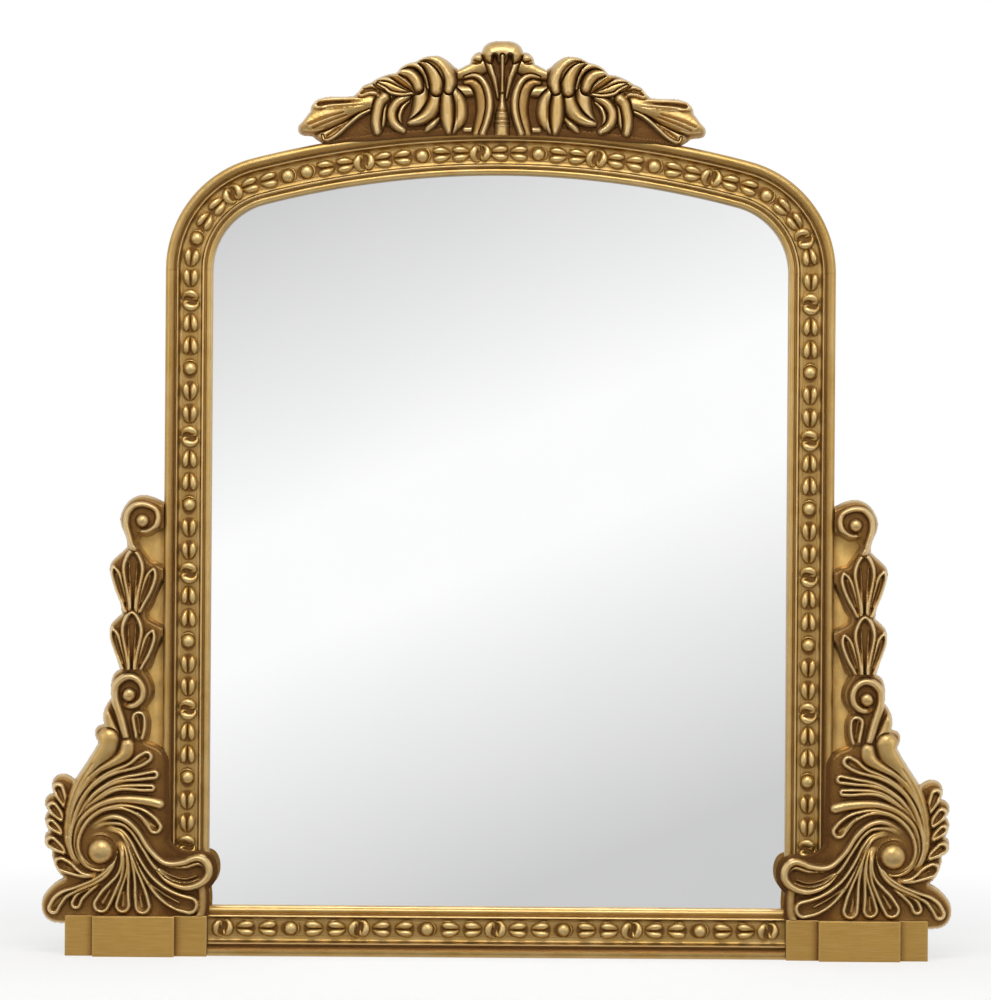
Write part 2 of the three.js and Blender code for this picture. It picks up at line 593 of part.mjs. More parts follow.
const crestToWorld = (points) => points.map(([x, y, ...rest]) => [x, y + OUTER_TOP, ...rest]);

// Everything of the frame and plinth that a side carving has to clear.
function bracketClearance() {
  return union([
    toSolid(box(0, OUTER_HALF_WIDTH + GAP, 0, SPRING_HEIGHT, -CUT_REACH, OVERLAY_BACK)),
    toSolid(box(0, PLINTH_OUTER + GAP, -CUT_REACH, PLINTH_TOP, -CUT_REACH, CUT_REACH)),
  ]);
}

// The sector under the arch's outer edge, so that what rests on the arch follows it.
function archClearance(depth) {
  const radius = CROWN_RADIUS + MOULDING_WIDTH + GAP;
  const start = Math.PI / 2 - CROWN_HALF_ANGLE;
  const edge = arc(0, CROWN_Y, radius, start, Math.PI - start, 24);
  return toSolid(extrude(shapeOf([...edge, [0, CROWN_Y]]), -CUT_REACH, depth));
}

function handed(solid, side) {
  const geometry = toGeometry(solid);
  return side > 0 ? geometry : flip(geometry.scale(-1, 1, 1));
}

function huskDrop() {
  const back = CARVING_BOARD_DEPTH + GAP;
  const slab = draftedSlab(bracketToWorld(HUSK_OUTLINE), back, SLAB_DEPTH);
  const notches = HUSK_INNER_NOTCHES.map(
    (notch) => toSolid(extrude(shapeOf(bracketToWorld(notch)), 0, CUT_REACH)));
  const husks = [0, 1].flatMap((row) => HUSK_PETALS.map((petal) => lobe(nosed(bracketToWorld(
    petal.map(([u, v, half]) => [u + row, v - HUSK_PITCH * row, half]))), HOLLOW)));
  const scroll = lobe(bracketToWorld(TOP_SCROLL), FULL);
  const eye = dome(...bracketToWorld([HUSK_EYE]));
  const floor = toSolid(box(0, OUTER_HALF_WIDTH + CUT_REACH, 0, HUSK_BOTTOM, 0, CUT_REACH));
  return union([notches.reduce((body, notch) => body.subtract(notch), slab), ...husks, scroll, eye])
    .subtract(bracketClearance()).subtract(floor);
}

function acanthusScroll() {
  const back = CARVING_BOARD_DEPTH + GAP;
  const slab = draftedSlab(bracketToWorld(ACANTHUS_OUTLINE), back, SLAB_DEPTH);
  const lobes = [
    ...ACANTHUS_HOLLOW.map((spine) => lobe(nosed(bracketToWorld(spine)), HOLLOW)),
    ...ACANTHUS_FULL.map((spine) => lobe(nosed(bracketToWorld(spine)), FULL)),
    lobe(bracketToWorld(SCROLL_BAND), FULL),
  ];
  const [ball, eye] = bracketToWorld([ACANTHUS_BALL, ACANTHUS_EYE]);
  const ceiling = toSolid(
    box(0, OUTER_HALF_WIDTH + CUT_REACH, HUSK_BOTTOM - GAP, HUSK_BOTTOM + CUT_REACH, 0, CUT_REACH));
  return union([slab, ...lobes, dome(ball, BALL_RELIEF), dome(eye)])
    .subtract(bracketClearance()).subtract(ceiling);
}

const bothHalves = (half) => [...half, ...mirrored(half).slice(1, -1)];

function crestPlume() {
  const slab = draftedSlab(bothHalves(crestToWorld(PLUME_OUTLINE)), CARVING_BOARD_DEPTH + GAP, SLAB_DEPTH);
  const lobes = PLUME_FULL.flatMap((spine) => {
    const points = crestToWorld(spine);
    const alone = lobe(points, FULL, PLUME_RELIEF);
    const onMiddle = spine[0][0] === 0 || spine[0][0] === -spine.at(-1)[0];
    return onMiddle ? [alone] : [alone, lobe(mirrored(points), FULL, PLUME_RELIEF)];
  });
  return union([slab, ...lobes]).subtract(archClearance(OVERLAY_BACK));
}

function crestLeaves() {
  const slab = draftedSlab(crestToWorld(LEAVES_OUTLINE), CARVING_BOARD_DEPTH + GAP, SLAB_DEPTH);
  const lobes = [
    ...LEAVES_FULL.map((spine) => lobe(crestToWorld(spine), FULL)),
    ...LEAVES_HOLLOW.map((spine) => lobe(nosed(crestToWorld(spine)), HOLLOW)),
  ];
  const inner = toSolid(box(0, PLUME_HALF_WIDTH, SPRING_HEIGHT, OUTER_TOP + 2 * CUT_REACH, 0, CUT_REACH));
  return union([slab, ...lobes]).subtract(archClearance(OVERLAY_BACK)).subtract(inner);
}

// ---------------------------------------------------------------- boards behind the carvings
const BRACKET_BOARD = [
  [GAP, PLINTH_TOP], [116, PLINTH_TOP], [116, 214], [60, 292], [49, 320], [49, 586], [GAP, 586],
];
const CREST_BOARD = [
  [0, 106], [16, 103], [30, 88], [45, 72], [64, 73], [82, 86], [100, 84], [128, 72], [150, 59], [180, 45],
  [190, 34], [236, 31], [243, 20], [256, 2], [256, -4], [236, -12], [230, -60], [0, -60],
];

function bracketBoard(side) {
  const outline = bracketToWorld(BRACKET_BOARD).map(([x, y]) => [side * x, y]);
  return extrude(shapeOf(outline), 0, CARVING_BOARD_DEPTH);
}

function crestBoard() {
  const board = extrude(shapeOf(bothHalves(crestToWorld(CREST_BOARD))), 0, CARVING_BOARD_DEPTH);
  return toSolid(board).subtract(archClearance(CUT_REACH));
}

// ---------------------------------------------------------------- fittings on the back
function screwAt(x, y) {
  const profile = [
    [0, -SCREW_HEAD_HEIGHT], [SCREW_HEAD_RADIUS * 0.7, -SCREW_HEAD_HEIGHT],
    [SCREW_HEAD_RADIUS, 0], [SCREW_RADIUS, 0], [0, SCREW_LENGTH],
  ];
  const geometry = new THREE.LatheGeometry(profile.map(([r, h]) => new THREE.Vector2(r, h)), 6);
  return geometry.rotateX(Math.PI / 2).translate(x, y, PLATE_BACK - GAP);
}

function holeAt([x, y]) {
  const radius = SCREW_RADIUS + GAP;
  const geometry = new THREE.CylinderGeometry(radius, radius, 2 * (SCREW_LENGTH + GAP), 6);
  return toSolid(geometry.rotateX(Math.PI / 2).translate(x, y, 0));
}

const drilled = (body, places) => places.reduce((solid, place) => solid.subtract(holeAt(place)), body);

// A flat plate between two places, with a hole at each of its screws.
function plate(from, to, width, screws) {
  const length = Math.hypot(to[0] - from[0], to[1] - from[1]);
  const geometry = new THREE.BoxGeometry(length, width, PLATE_THICKNESS);
  geometry.rotateZ(Math.atan2(to[1] - from[1], to[0] - from[0]));
  geometry.translate((from[0] + to[0]) / 2, (from[1] + to[1]) / 2, BACK_FACE - PLATE_THICKNESS / 2);
  return drilled(toSolid(geometry), screws);
}

const PLATE_X = OUTER_HALF_WIDTH - MOULDING_WIDTH / 2;
const CORNER_PLATE_Y = PLINTH_HEIGHT / 2;
const CORNER_SCREWS = [
  [SIGHT_HALF_WIDTH - SCREW_SETBACK, CORNER_PLATE_Y], [PLATE_X, CORNER_PLATE_Y],
  [PLATE_X, PLINTH_TOP + SCREW_SETBACK],
];
const JOINT_SCREWS = [-1, 1].map((end) => [PLATE_X, SPRING_HEIGHT + end * SCREW_SETBACK]);
const CREST_SCREWS = [-1, 1].map((end) => [CREST_PLATE_X, OUTER_TOP + end * SCREW_SETBACK]);
const BRACKET_SCREWS = [-1, 1].map((end) => [OUTER_HALF_WIDTH + end * SCREW_SETBACK, BRACKET_PLATE_Y]);

function endToEnd([a, b], overrun) {
  const along = new THREE.Vector2(b[0] - a[0], b[1] - a[1]).setLength(overrun);
  return [[a[0] - along.x, a[1] - along.y], [b[0] + along.x, b[1] + along.y]];
}

function straightPlate(screws) {
  return plate(...endToEnd(screws, PLATE_WIDTH / 2), PLATE_WIDTH, screws);
}

function cornerPlate() {
  const [inner, corner, upper] = CORNER_SCREWS;
  return union([
    plate(...endToEnd([inner, corner], PLATE_WIDTH / 2), PLATE_WIDTH, [inner, corner]),
    plate(corner, endToEnd([corner, upper], PLATE_WIDTH / 2)[1], PLATE_WIDTH, [corner, upper]),
  ]).subtract(holeAt(corner));
}

// Retaining clips: screwed to the frame, with their other end over the backing board.
const CLIP_SCREW_OFFSET = REBATE_WIDTH + CLIP_SETBACK;
const CLIP_STILE_HEIGHTS = [300, 640];
const CLIP_RAIL_X = 190;
const CLIP_ARCH_ANGLE = 0.17;

function clipPlaces(side) {
  const [x, y] = archPoint(side * CLIP_ARCH_ANGLE, CLIP_SCREW_OFFSET);
  return [
    { x: side * CLIP_RAIL_X, y: SIGHT_BOTTOM - CLIP_SCREW_OFFSET, inward: [0, 1] },
    ...CLIP_STILE_HEIGHTS.map((height) => (
      { x: side * (SIGHT_HALF_WIDTH + CLIP_SCREW_OFFSET), y: height, inward: [-side, 0] })),
    { x, y, inward: [-side * Math.sin(CLIP_ARCH_ANGLE), -Math.cos(CLIP_ARCH_ANGLE)] },
  ];
}

function clipAt({ x, y, inward: [ix, iy] }) {
  const ahead = CLIP_LENGTH - CLIP_TAIL;
  const [tail, tip] = [[x - ix * CLIP_TAIL, y - iy * CLIP_TAIL], [x + ix * ahead, y + iy * ahead]];
  return plate(tail, tip, PLATE_WIDTH, [[x, y]]);
}

// Hanger strap: a flat tail with two screws, rolled at the top round the bar of the ring.
const STRAP_SCREWS = STRAP_SCREWS_FROM_TAIL.map(
  (fromTail) => [HANGER_X, HANGER_HEIGHT - STRAP_LENGTH + fromTail]);

function hangerStrap(side) {
  const outer = RING_HOLE_RADIUS + PLATE_THICKNESS;
  const start = -Math.PI / 2;
  const section = [
    ...arc(0, 0, outer, start, start + STRAP_CURL, 9),
    ...arc(0, 0, RING_HOLE_RADIUS, start + STRAP_CURL, start, 9),
    [-STRAP_LENGTH, -RING_HOLE_RADIUS], [-STRAP_LENGTH, -outer],
  ];
  const rings = [-1, 1].map((end) => section.map(([along, out]) => point(
    side * HANGER_X + (end * STRAP_WIDTH) / 2, HANGER_HEIGHT + along, RING_AXIS_Z - out)));
  return drilled(toSolid(loft(rings)), STRAP_SCREWS.map(([x, y]) => [side * x, y]));
}

// D-shaped ring, hanging down from its straight bar.
function hangerRing(side) {
  const bow = (RING_REACH - RING_CORNER) / RING_HALF_WIDTH;
  const line = [
    [-RING_HALF_WIDTH + RING_CORNER, 0], [RING_HALF_WIDTH - RING_CORNER, 0],
    ...arc(RING_HALF_WIDTH - RING_CORNER, -RING_CORNER, RING_CORNER, Math.PI / 2, 0, 2).slice(1),
    ...arc(0, 0, RING_HALF_WIDTH, 0, -Math.PI, 8).slice(1, -1).map(([x, y]) => [x, y * bow - RING_CORNER]),
    ...arc(-RING_HALF_WIDTH + RING_CORNER, -RING_CORNER, RING_CORNER, Math.PI, Math.PI / 2, 2).slice(0, -1),
  ];
  const rings = line.map((p, i) => {
    const before = line.at(i - 1);
    const after = line[(i + 1) % line.length];
    const out = new THREE.Vector2(after[1] - before[1], before[0] - after[0]).normalize();
    return Array.from({ length: 6 }, (_, k) => {
      const angle = (Math.PI * k) / 3;
      const spread = RING_WIRE_RADIUS * Math.cos(angle);
      return point(side * HANGER_X + p[0] + out.x * spread, HANGER_HEIGHT + p[1] + out.y * spread,
        RING_AXIS_Z + RING_WIRE_RADIUS * Math.sin(angle));
    });
  });
  return loft(rings, true);
}

function wallPad(side) {
  const geometry = new THREE.CylinderGeometry(PAD_RADIUS, PAD_RADIUS, PAD_THICKNESS, 16);
  geometry.rotateX(Math.PI / 2);
  return geometry.translate(side * PLATE_X, PAD_HEIGHT, BACK_FACE - PAD_THICKNESS / 2);
}

// ---------------------------------------------------------------- materials
function finish(color, roughness, metalness) {
  return new THREE.MeshStandardMaterial({ color, roughness, metalness });
}

const GILT = () => finish(0xa8864a, 0.42, 0.75);
const DARK_GILT = () => finish(0x9a7a42, 0.5, 0.7);
const MIRROR = () => finish(0xdfe3e4, 0.04, 1);
const FIBREBOARD = () => finish(0x6e4f33, 0.85, 0);
const ZINC = () => finish(0xb4b6b5, 0.35, 0.9);
const FELT = () => finish(0x3a352f, 0.95, 0);

// ---------------------------------------------------------------- the assembly
const mirror = new THREE.Group();
const drawing = new THREE.Group();
mirror.add(drawing);

function add(name, shape, material) {
  const geometry = shape.isBufferGeometry ? shape : toGeometry(shape);
  const mesh = new THREE.Mesh(geometry, material);
  mesh.name = name;
  drawing.add(mesh);
}

const onSide = (side, places) => places.map(([x, y]) => [side * x, y]);

for (const [side, hand] of [[-1, 'left'], [1, 'right']]) {
  const strapScrews = onSide(side, STRAP_SCREWS);
  add(`frame_stile_${hand}`, drilled(toSolid(stile(side)), strapScrews), GILT());
  add(`bead_strip_${hand}`, stileBeads(side), GILT());
  add(`bracket_board_${hand}`, bracketBoard(side), DARK_GILT());
  add(`plinth_base_${hand}`, plinthBase(side), GILT());
  add(`plinth_block_${hand}`, plinthBlock(side), GILT());
  add(`corner_plate_${hand}`, handed(cornerPlate(), side), ZINC());
  add(`joint_plate_${hand}`, handed(straightPlate(JOINT_SCREWS), side), ZINC());
  add(`bracket_plate_${hand}`, handed(straightPlate(BRACKET_SCREWS), side), ZINC());
  add(`crest_plate_${hand}`, handed(straightPlate(CREST_SCREWS), side), ZINC());
  add(`hanger_strap_${hand}`, hangerStrap(side), ZINC());
  add(`hanger_ring_${hand}`, hangerRing(side), ZINC());
  strapScrews.forEach(([x, y], i) => add(`hanger_screw_${hand}_${i + 1}`, screwAt(x, y), ZINC()));
  clipPlaces(side).forEach((place, i) => add(`retaining_clip_${hand}_${i + 1}`, clipAt(place), ZINC()));
  add(`wall_pad_${hand}`, wallPad(side), FELT());
}

add('frame_arch_rail', sweepArch(mouldingSection(MOULDING_WIDTH), archStations), GILT());
add('frame_bottom_rail', bottomRail(), GILT());
add('bead_strip_arch', archBeads(), GILT());
add('bead_strip_bottom', railBeads(), GILT());

const [drop, scroll, leaves] = [huskDrop(), acanthusScroll(), crestLeaves()];
for (const [side, hand] of [[-1, 'left'], [1, 'right']]) {
  add(`husk_drop_${hand}`, handed(drop, side), GILT());
  add(`acanthus_scroll_${hand}`, handed(scroll, side), GILT());
  add(`crest_leaves_${hand}`, handed(leaves, side), GILT());
}
add('crest_plume', crestPlume(), GILT());
add('crest_board', crestBoard(), DARK_GILT());

add('mirror_glass', extrude(openingShape(GLASS_GROW, GLASS_BOTTOM), GLASS_BACK, GLASS_BACK + GLASS_THICKNESS),
  MIRROR());
add('backing_board', extrude(openingShape(GLASS_GROW, GLASS_BOTTOM), 0, BOARD_THICKNESS), FIBREBOARD());

// The box reaches from the pads on the wall to the front of the plinth blocks.
const FRONT_REACH = PLINTH_BASE_DEPTH + GAP + PLINTH_BLOCK_DEPTH;
const BACK_REACH = GAP + PAD_THICKNESS;
drawing.rotation.x = Math.PI / 2;
drawing.position.y = (FRONT_REACH - BACK_REACH) / 2;

export default mirror;
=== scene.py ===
"""Gilt overmantel mirror: the finish, the carvings, the beads and the fittings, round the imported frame.

The frame is in metres, +Z up, and the mirror faces -Y. Shapes are drawn in millimetres in the plane of the
wall: x to the right, y up from the floor of the plinths, and depth forwards from the back of the frame.
"""
import math

import bpy
import numpy as np
from mathutils import Matrix, Vector, kdtree


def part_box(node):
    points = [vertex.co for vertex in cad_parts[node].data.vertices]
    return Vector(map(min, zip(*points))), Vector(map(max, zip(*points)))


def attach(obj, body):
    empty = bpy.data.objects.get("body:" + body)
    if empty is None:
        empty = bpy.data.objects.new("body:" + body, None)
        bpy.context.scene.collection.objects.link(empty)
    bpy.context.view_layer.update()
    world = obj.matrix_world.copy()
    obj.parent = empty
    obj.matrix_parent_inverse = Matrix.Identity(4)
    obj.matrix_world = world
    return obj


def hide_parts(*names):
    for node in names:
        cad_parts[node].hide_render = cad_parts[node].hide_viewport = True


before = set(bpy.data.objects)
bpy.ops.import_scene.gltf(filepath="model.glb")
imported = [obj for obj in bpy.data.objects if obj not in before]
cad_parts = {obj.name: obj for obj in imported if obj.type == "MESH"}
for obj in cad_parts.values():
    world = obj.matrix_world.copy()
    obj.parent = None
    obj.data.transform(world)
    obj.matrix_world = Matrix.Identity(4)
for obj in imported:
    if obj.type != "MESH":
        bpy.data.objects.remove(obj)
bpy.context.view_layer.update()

MM = 0.001


# ---------------------------------------------------------------- sizes taken from the frame (mm)
def corners(node):
    """The lowest and the highest corner of a CAD node."""
    return [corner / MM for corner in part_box(node)]


STILE_LOW, STILE_HIGH = corners("frame_stile_right")
RAIL_HIGH = corners("frame_bottom_rail")[1]
PLINTH_LOW, PLINTH_HIGH = corners("plinth_base_right")
BLOCK_LOW, BLOCK_HIGH = corners("plinth_block_right")
GAP = 0.3  # left between neighbouring pieces
BACK = STILE_HIGH.y  # world y of the back of the frame
SIGHT = STILE_LOW.x  # half width of the opening
SIDE = STILE_HIGH.x  # half width of the frame
MOULDING_WIDTH = SIDE - SIGHT
MOULDING_DEPTH = BACK - STILE_LOW.y
BOARD_DEPTH = BACK - corners("bracket_board_right")[0].y
PLINTH_TOP = STILE_LOW.z
RAIL_HEIGHT = RAIL_HIGH.z
SPRING = STILE_HIGH.z + GAP
OUTER_TOP = corners("frame_arch_rail")[1].z
SIGHT_TOP = OUTER_TOP - MOULDING_WIDTH

# the three-centred arch
CORNER_RADIUS = 90
CORNER_X = SIGHT - CORNER_RADIUS
ARCH_RISE = SIGHT_TOP - SPRING
CROWN_RADIUS = (CORNER_X ** 2 + ARCH_RISE ** 2 - CORNER_RADIUS ** 2) / (2 * (ARCH_RISE - CORNER_RADIUS))
CROWN_Z = SIGHT_TOP - CROWN_RADIUS
CROWN_HALF_ANGLE = math.atan2(CORNER_X, SPRING - CROWN_Z)

TO_LEFT = Matrix.Scale(-1, 4, (1, 0, 0))  # reflects a right-hand piece


# ---------------------------------------------------------------- modelling helpers
def only(*objects):
    """Selects these objects alone and makes the first one active."""
    bpy.ops.object.select_all(action="DESELECT")
    for obj in objects:
        obj.select_set(True)
    bpy.context.view_layer.objects.active = objects[0]


def start(operator, **settings):
    """Adds a primitive, lamp or camera with nothing else selected, and returns its object."""
    bpy.ops.object.select_all(action="DESELECT")
    operator(**settings)
    return bpy.context.object


def sized(obj, size):
    """Gives a new primitive its size, and puts its place and size into its mesh."""
    obj.scale = size
    only(obj)
    bpy.ops.object.transform_apply(location=True, rotation=True, scale=True)
    return obj


def bevel(obj, width, segments, degrees=30):
    """Eases the edges that are sharper than an angle, by a width in mm."""
    only(obj)
    modifier = obj.modifiers.new("eased_edges", "BEVEL")
    modifier.width = width * MM
    modifier.segments = segments
    modifier.limit_method = "ANGLE"
    modifier.angle_limit = math.radians(degrees)
    bpy.ops.object.modifier_apply(modifier=modifier.name)


def select_faces(obj, test):
    """Selects the faces whose (centre, normal) pass the test, for the edit mode that follows."""
    for element in [*obj.data.vertices, *obj.data.edges]:
        element.select = False
    for face in obj.data.polygons:
        face.select = test(face.center, face.normal)


def edit(obj, *steps, mode="VERT"):
    """Runs operators on the object in edit mode, each given as (operator, settings)."""
    only(obj)
    bpy.ops.object.mode_set(mode="EDIT")
    bpy.ops.mesh.select_mode(type=mode)
    for operator, settings in steps:
        operator(**settings)
    bpy.ops.object.mode_set(mode="OBJECT")


def outward(obj):
    """Merges doubles and turns every face outwards."""
    edit(
        obj,
        (bpy.ops.mesh.select_all, {"action": "SELECT"}),
        (bpy.ops.mesh.remove_doubles, {"threshold": 0.000002}),
        (bpy.ops.mesh.normals_make_consistent, {"inside": False}),
    )


def smooth(obj, degrees):
    """Shades the object smooth, except along edges sharper than this."""
    only(obj)
    bpy.ops.object.shade_smooth_by_angle(angle=math.radians(degrees))
    return obj


def join(objects):
    only(*objects)
    bpy.ops.object.join()
    return bpy.context.object


def placed(name, mesh):
    obj = bpy.data.objects.new(name, mesh)
    bpy.context.scene.collection.objects.link(obj)
    return obj


def from_points(name, points, faces, edges=()):
    """A new object from its points, in the frame's metres."""
    mesh = bpy.data.meshes.new(name)
    mesh.from_pydata(points, edges, faces)
    return placed(name, mesh)


def from_rows(name, rows):
    """A surface through a grid of points in mm, given as an array of rows."""
    count = rows.shape[1]
    faces = [
        [i * count + j, i * count + j + 1, (i + 1) * count + j + 1, (i + 1) * count + j]
        for i in range(len(rows) - 1) for j in range(count - 1)]
    return from_points(name, (rows.reshape(-1, 3) * MM).tolist(), faces)


def moved_copy(template, matrix):
    """A copy of a finished object with its own mesh, at another place."""
    mesh = template.data.copy()
    mesh.transform(matrix)
    if matrix.determinant() < 0:
        mesh.flip_normals()
    return placed(template.name, mesh)


def coordinates(obj):
    """The places of the object's vertices, in mm."""
    flat = np.empty(3 * len(obj.data.vertices))
    obj.data.vertices.foreach_get("co", flat)
    return flat.reshape(-1, 3) / MM


def stain(obj, patina_and_shade, rub_and_sheen=0.0):
    """Keeps, for each vertex, how dark it is, from wax in hollows and from painted shade, and how pale it
    is, from rubbed wear and from painted highlights and reflections.
    """
    count = len(obj.data.vertices)
    for name, values in (("patina_and_shade", patina_and_shade), ("rub_and_sheen", rub_and_sheen)):
        layer = obj.data.attributes.get(name) or obj.data.attributes.new(name, "FLOAT", "POINT")
        layer.data.foreach_set("value", np.broadcast_to(values, count).astype(np.float32))


def dress(obj, name, material, node, body="frame"):
    """Names a finished piece, gives it its finish, and puts it in the place of its CAD node."""
    obj.name = name
    obj.data.name = name
    obj.data.materials.clear()
    obj.data.materials.append(material)
    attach(obj, body)
    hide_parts(node)


def dress_pair(piece, name, material, node):
    """Dresses a right-hand piece and its reflection on the left."""
    reflection = moved_copy(piece, TO_LEFT)
    for obj, side in ((piece, "right"), (reflection, "left")):
        dress(obj, f"{name}_{side}", material, f"{node}_{side}")


def front(x, y, depth):
    """A place in the drawing, in the frame's metres."""
    return Vector((x * MM, (BACK - depth) * MM, y * MM))


# ---------------------------------------------------------------- materials
def linear(hex_colour):
    """An sRGB hex colour as the linear RGBA that the shaders take."""
    parts = [int(hex_colour[i:i + 2], 16) / 255 for i in (1, 3, 5)]
    return (*[c / 12.92 if c <= 0.04045 else ((c + 0.055) / 1.055) ** 2.4 for c in parts], 1)


def cells(*sizes):
    """The scale of a pattern from the size of its cells in mm, one for all directions or one for each."""
    scales = [1 / (size * MM) for size in sizes]
    return scales if len(sizes) == 3 else scales[0]


def add(tree, kind, inputs=None, output=0, **settings):
    """Adds a node, sets its properties, sets or links its inputs, and gives one of its outputs.

    A MapRange runs from input 3 to input 4 as input 0 goes from 1 to 2, and a Mix of colours goes from
    input 6 to input 7 by its share, input 0.
    """
    node = tree.nodes.new(f"ShaderNode{kind}")
    for name, value in settings.items():
        setattr(node, name, value)
    for key, value in (inputs or {}).items():
        if isinstance(value, bpy.types.NodeSocket):
            tree.links.new(value, node.inputs[key])
        else:
            node.inputs[key].default_value = value
    return node.outputs[output] if node.outputs else None


def new_material(name):
    material = bpy.data.materials.new(name)
    material.use_nodes = True
    material.node_tree.nodes.clear()
    return material, material.node_tree


def gilt(name, gold, pale, strokes, stroke_depth, roughness, blotch=0.3):
    """Gold bronze paint over gesso, toned with brown wax and rubbed back: a satin metal skin that is bright
    on what a cloth reaches and where highlights are painted, and brown where the wax stays and where
    shade is painted. The back of the frame is left as stained wood.

    strokes are the sizes in mm of the brushed patches along x, y and z. Where they are lines, they are
    coarser than a real brush's, so that they show. blotch is how much the tone varies.
    """
    material, tree = new_material(name)
    place = add(tree, "TexCoord", output="Object")
    patina_and_shade, rub_and_sheen = (add(tree, "Attribute", output="Fac", attribute_name=kind) for kind in ("patina_and_shade", "rub_and_sheen"))
    clouds = add(tree, "TexNoise", {"Vector": place, "Scale": cells(25), "Detail": 3, "Roughness": 0.55})
    specks = add(tree, "TexNoise", {"Vector": place, "Scale": cells(2.632), "Detail": 2, "Roughness": 0.6})
    brush = add(tree, "Mapping", {"Vector": place, "Scale": cells(*strokes)})
    brush = add(tree, "TexNoise", {"Vector": brush, "Scale": 1, "Detail": 4, "Roughness": 0.6})
    # a cloth leaves the wax in specks of 2 or 3 mm
    speckle = add(tree, "MapRange", {0: specks, 1: 0.3, 2: 0.7, 3: 0.88, 4: 1.08})
    wax = add(tree, "Math", {0: patina_and_shade, 1: speckle}, operation="MULTIPLY", use_clamp=True)

    colour = linear(gold)
    # the dark layers are wax in hollows together with painted shade, and the pale ones are rubbed wear
    # together with painted highlights
    for layer, low, high, most, tone in (
        (clouds, 0.35, 0.7, blotch, "#8A6630"),  # the tone of the paint changes over about 25 mm
        (brush, 0.35, 0.75, 0.35, pale),
        (rub_and_sheen, 0, 1, 0.85, pale),
        (wax, 0, 0.6, 1, "#86602F"),
        (wax, 0.45, 1, 1, "#5C3B18"),  # wax that lies thick, and the deepest painted shade
    ):
        share = add(tree, "MapRange", {0: layer, 1: low, 2: high, 3: 0, 4: most})
        colour = add(tree, "Mix", {0: share, 6: colour, 7: linear(tone)}, 2, data_type="RGBA")
    shine = add(tree, "MapRange", {0: wax, 1: 0, 2: 1, 3: 0.92, 4: 0.7})
    rough = add(tree, "MapRange", {0: wax, 1: 0, 2: 1, 3: roughness, 4: roughness + 0.2})
    streaks = add(tree, "MapRange", {0: brush, 1: 0.3, 2: 0.7, 3: -0.05, 4: 0.05})
    rough = add(tree, "Math", {0: rough, 1: streaks}, operation="ADD")
    relief = add(tree, "Bump", {"Height": brush, "Strength": 0.35, "Distance": stroke_depth * MM})
    relief = add(tree, "Bump", {"Height": specks, "Strength": 0.3, "Distance": 0.06 * MM, "Normal": relief})
    paint = add(tree, "BsdfPrincipled", {
        "Base Color": colour, "Metallic": shine, "Roughness": rough, "Normal": relief,
        "Specular IOR Level": 0.3})

    # stained wood on the back, its grain about 4 mm wide and running up the frame
    fibre = add(tree, "Mapping", {"Vector": place, "Scale": cells(3.846, 25, 71.43)})
    fibre = add(tree, "TexNoise", {"Vector": fibre, "Scale": 1, "Detail": 5, "Roughness": 0.65})
    colour = add(tree, "Mix", {0: fibre, 6: linear("#2A1B10"), 7: linear("#5A3F27")}, 2, data_type="RGBA")
    wood = add(tree, "BsdfPrincipled", {"Base Color": colour, "Roughness": 0.7})
    at_back = add(tree, "SeparateXYZ", {0: place}, "Y")
    at_back = add(tree, "Math", {0: at_back, 1: (BACK - 0.5) * MM}, operation="GREATER_THAN")
    skin = add(tree, "MixShader", {0: at_back, 1: paint, 2: wood})
    add(tree, "OutputMaterial", {"Surface": skin})
    return material


def silvered_glass():
    """Float glass silvered behind: a clear sharp mirror with the faint wave of rolled glass."""
    material, tree = new_material("silvered_float_glass")
    place = add(tree, "TexCoord", output="Object")
    haze = add(tree, "TexNoise", {"Vector": place, "Scale": cells(166.7), "Detail": 2})
    colour = add(tree, "Mix", {0: haze, 6: linear("#FDFDFD"), 7: linear("#F9FAFA")}, 2, data_type="RGBA")
    rough = add(tree, "MapRange", {0: haze, 1: 0.3, 2: 0.7, 3: 0.012, 4: 0.022})
    glass = add(tree, "BsdfPrincipled", {"Base Color": colour, "Metallic": 1.0, "Roughness": rough})
    add(tree, "OutputMaterial", {"Surface": glass})
    return material


def hardboard():
    """Pressed fibre board: brown, matt, with short fibres of a millimetre or two lying every way."""
    material, tree = new_material("pressed_fibre_board")
    place = add(tree, "TexCoord", output="Object")
    fibres = add(tree, "TexNoise", {"Vector": place, "Scale": cells(1.429), "Detail": 4, "Roughness": 0.7})
    clouds = add(tree, "TexNoise", {"Vector": place, "Scale": cells(83.33), "Detail": 3})
    colour = add(tree, "Mix", {0: fibres, 6: linear("#5B3D25"), 7: linear("#8A6544")}, 2, data_type="RGBA")
    damp = add(tree, "MapRange", {0: clouds, 1: 0.4, 2: 0.7, 3: 0, 4: 0.35})
    colour = add(tree, "Mix", {0: damp, 6: colour, 7: linear("#4C321E")}, 2, data_type="RGBA")
    relief = add(tree, "Bump", {"Height": fibres, "Strength": 0.4, "Distance": 0.15 * MM})
    board = add(tree, "BsdfPrincipled", {"Base Color": colour, "Roughness": 0.82, "Normal": relief})
    add(tree, "OutputMaterial", {"Surface": board})
    return material


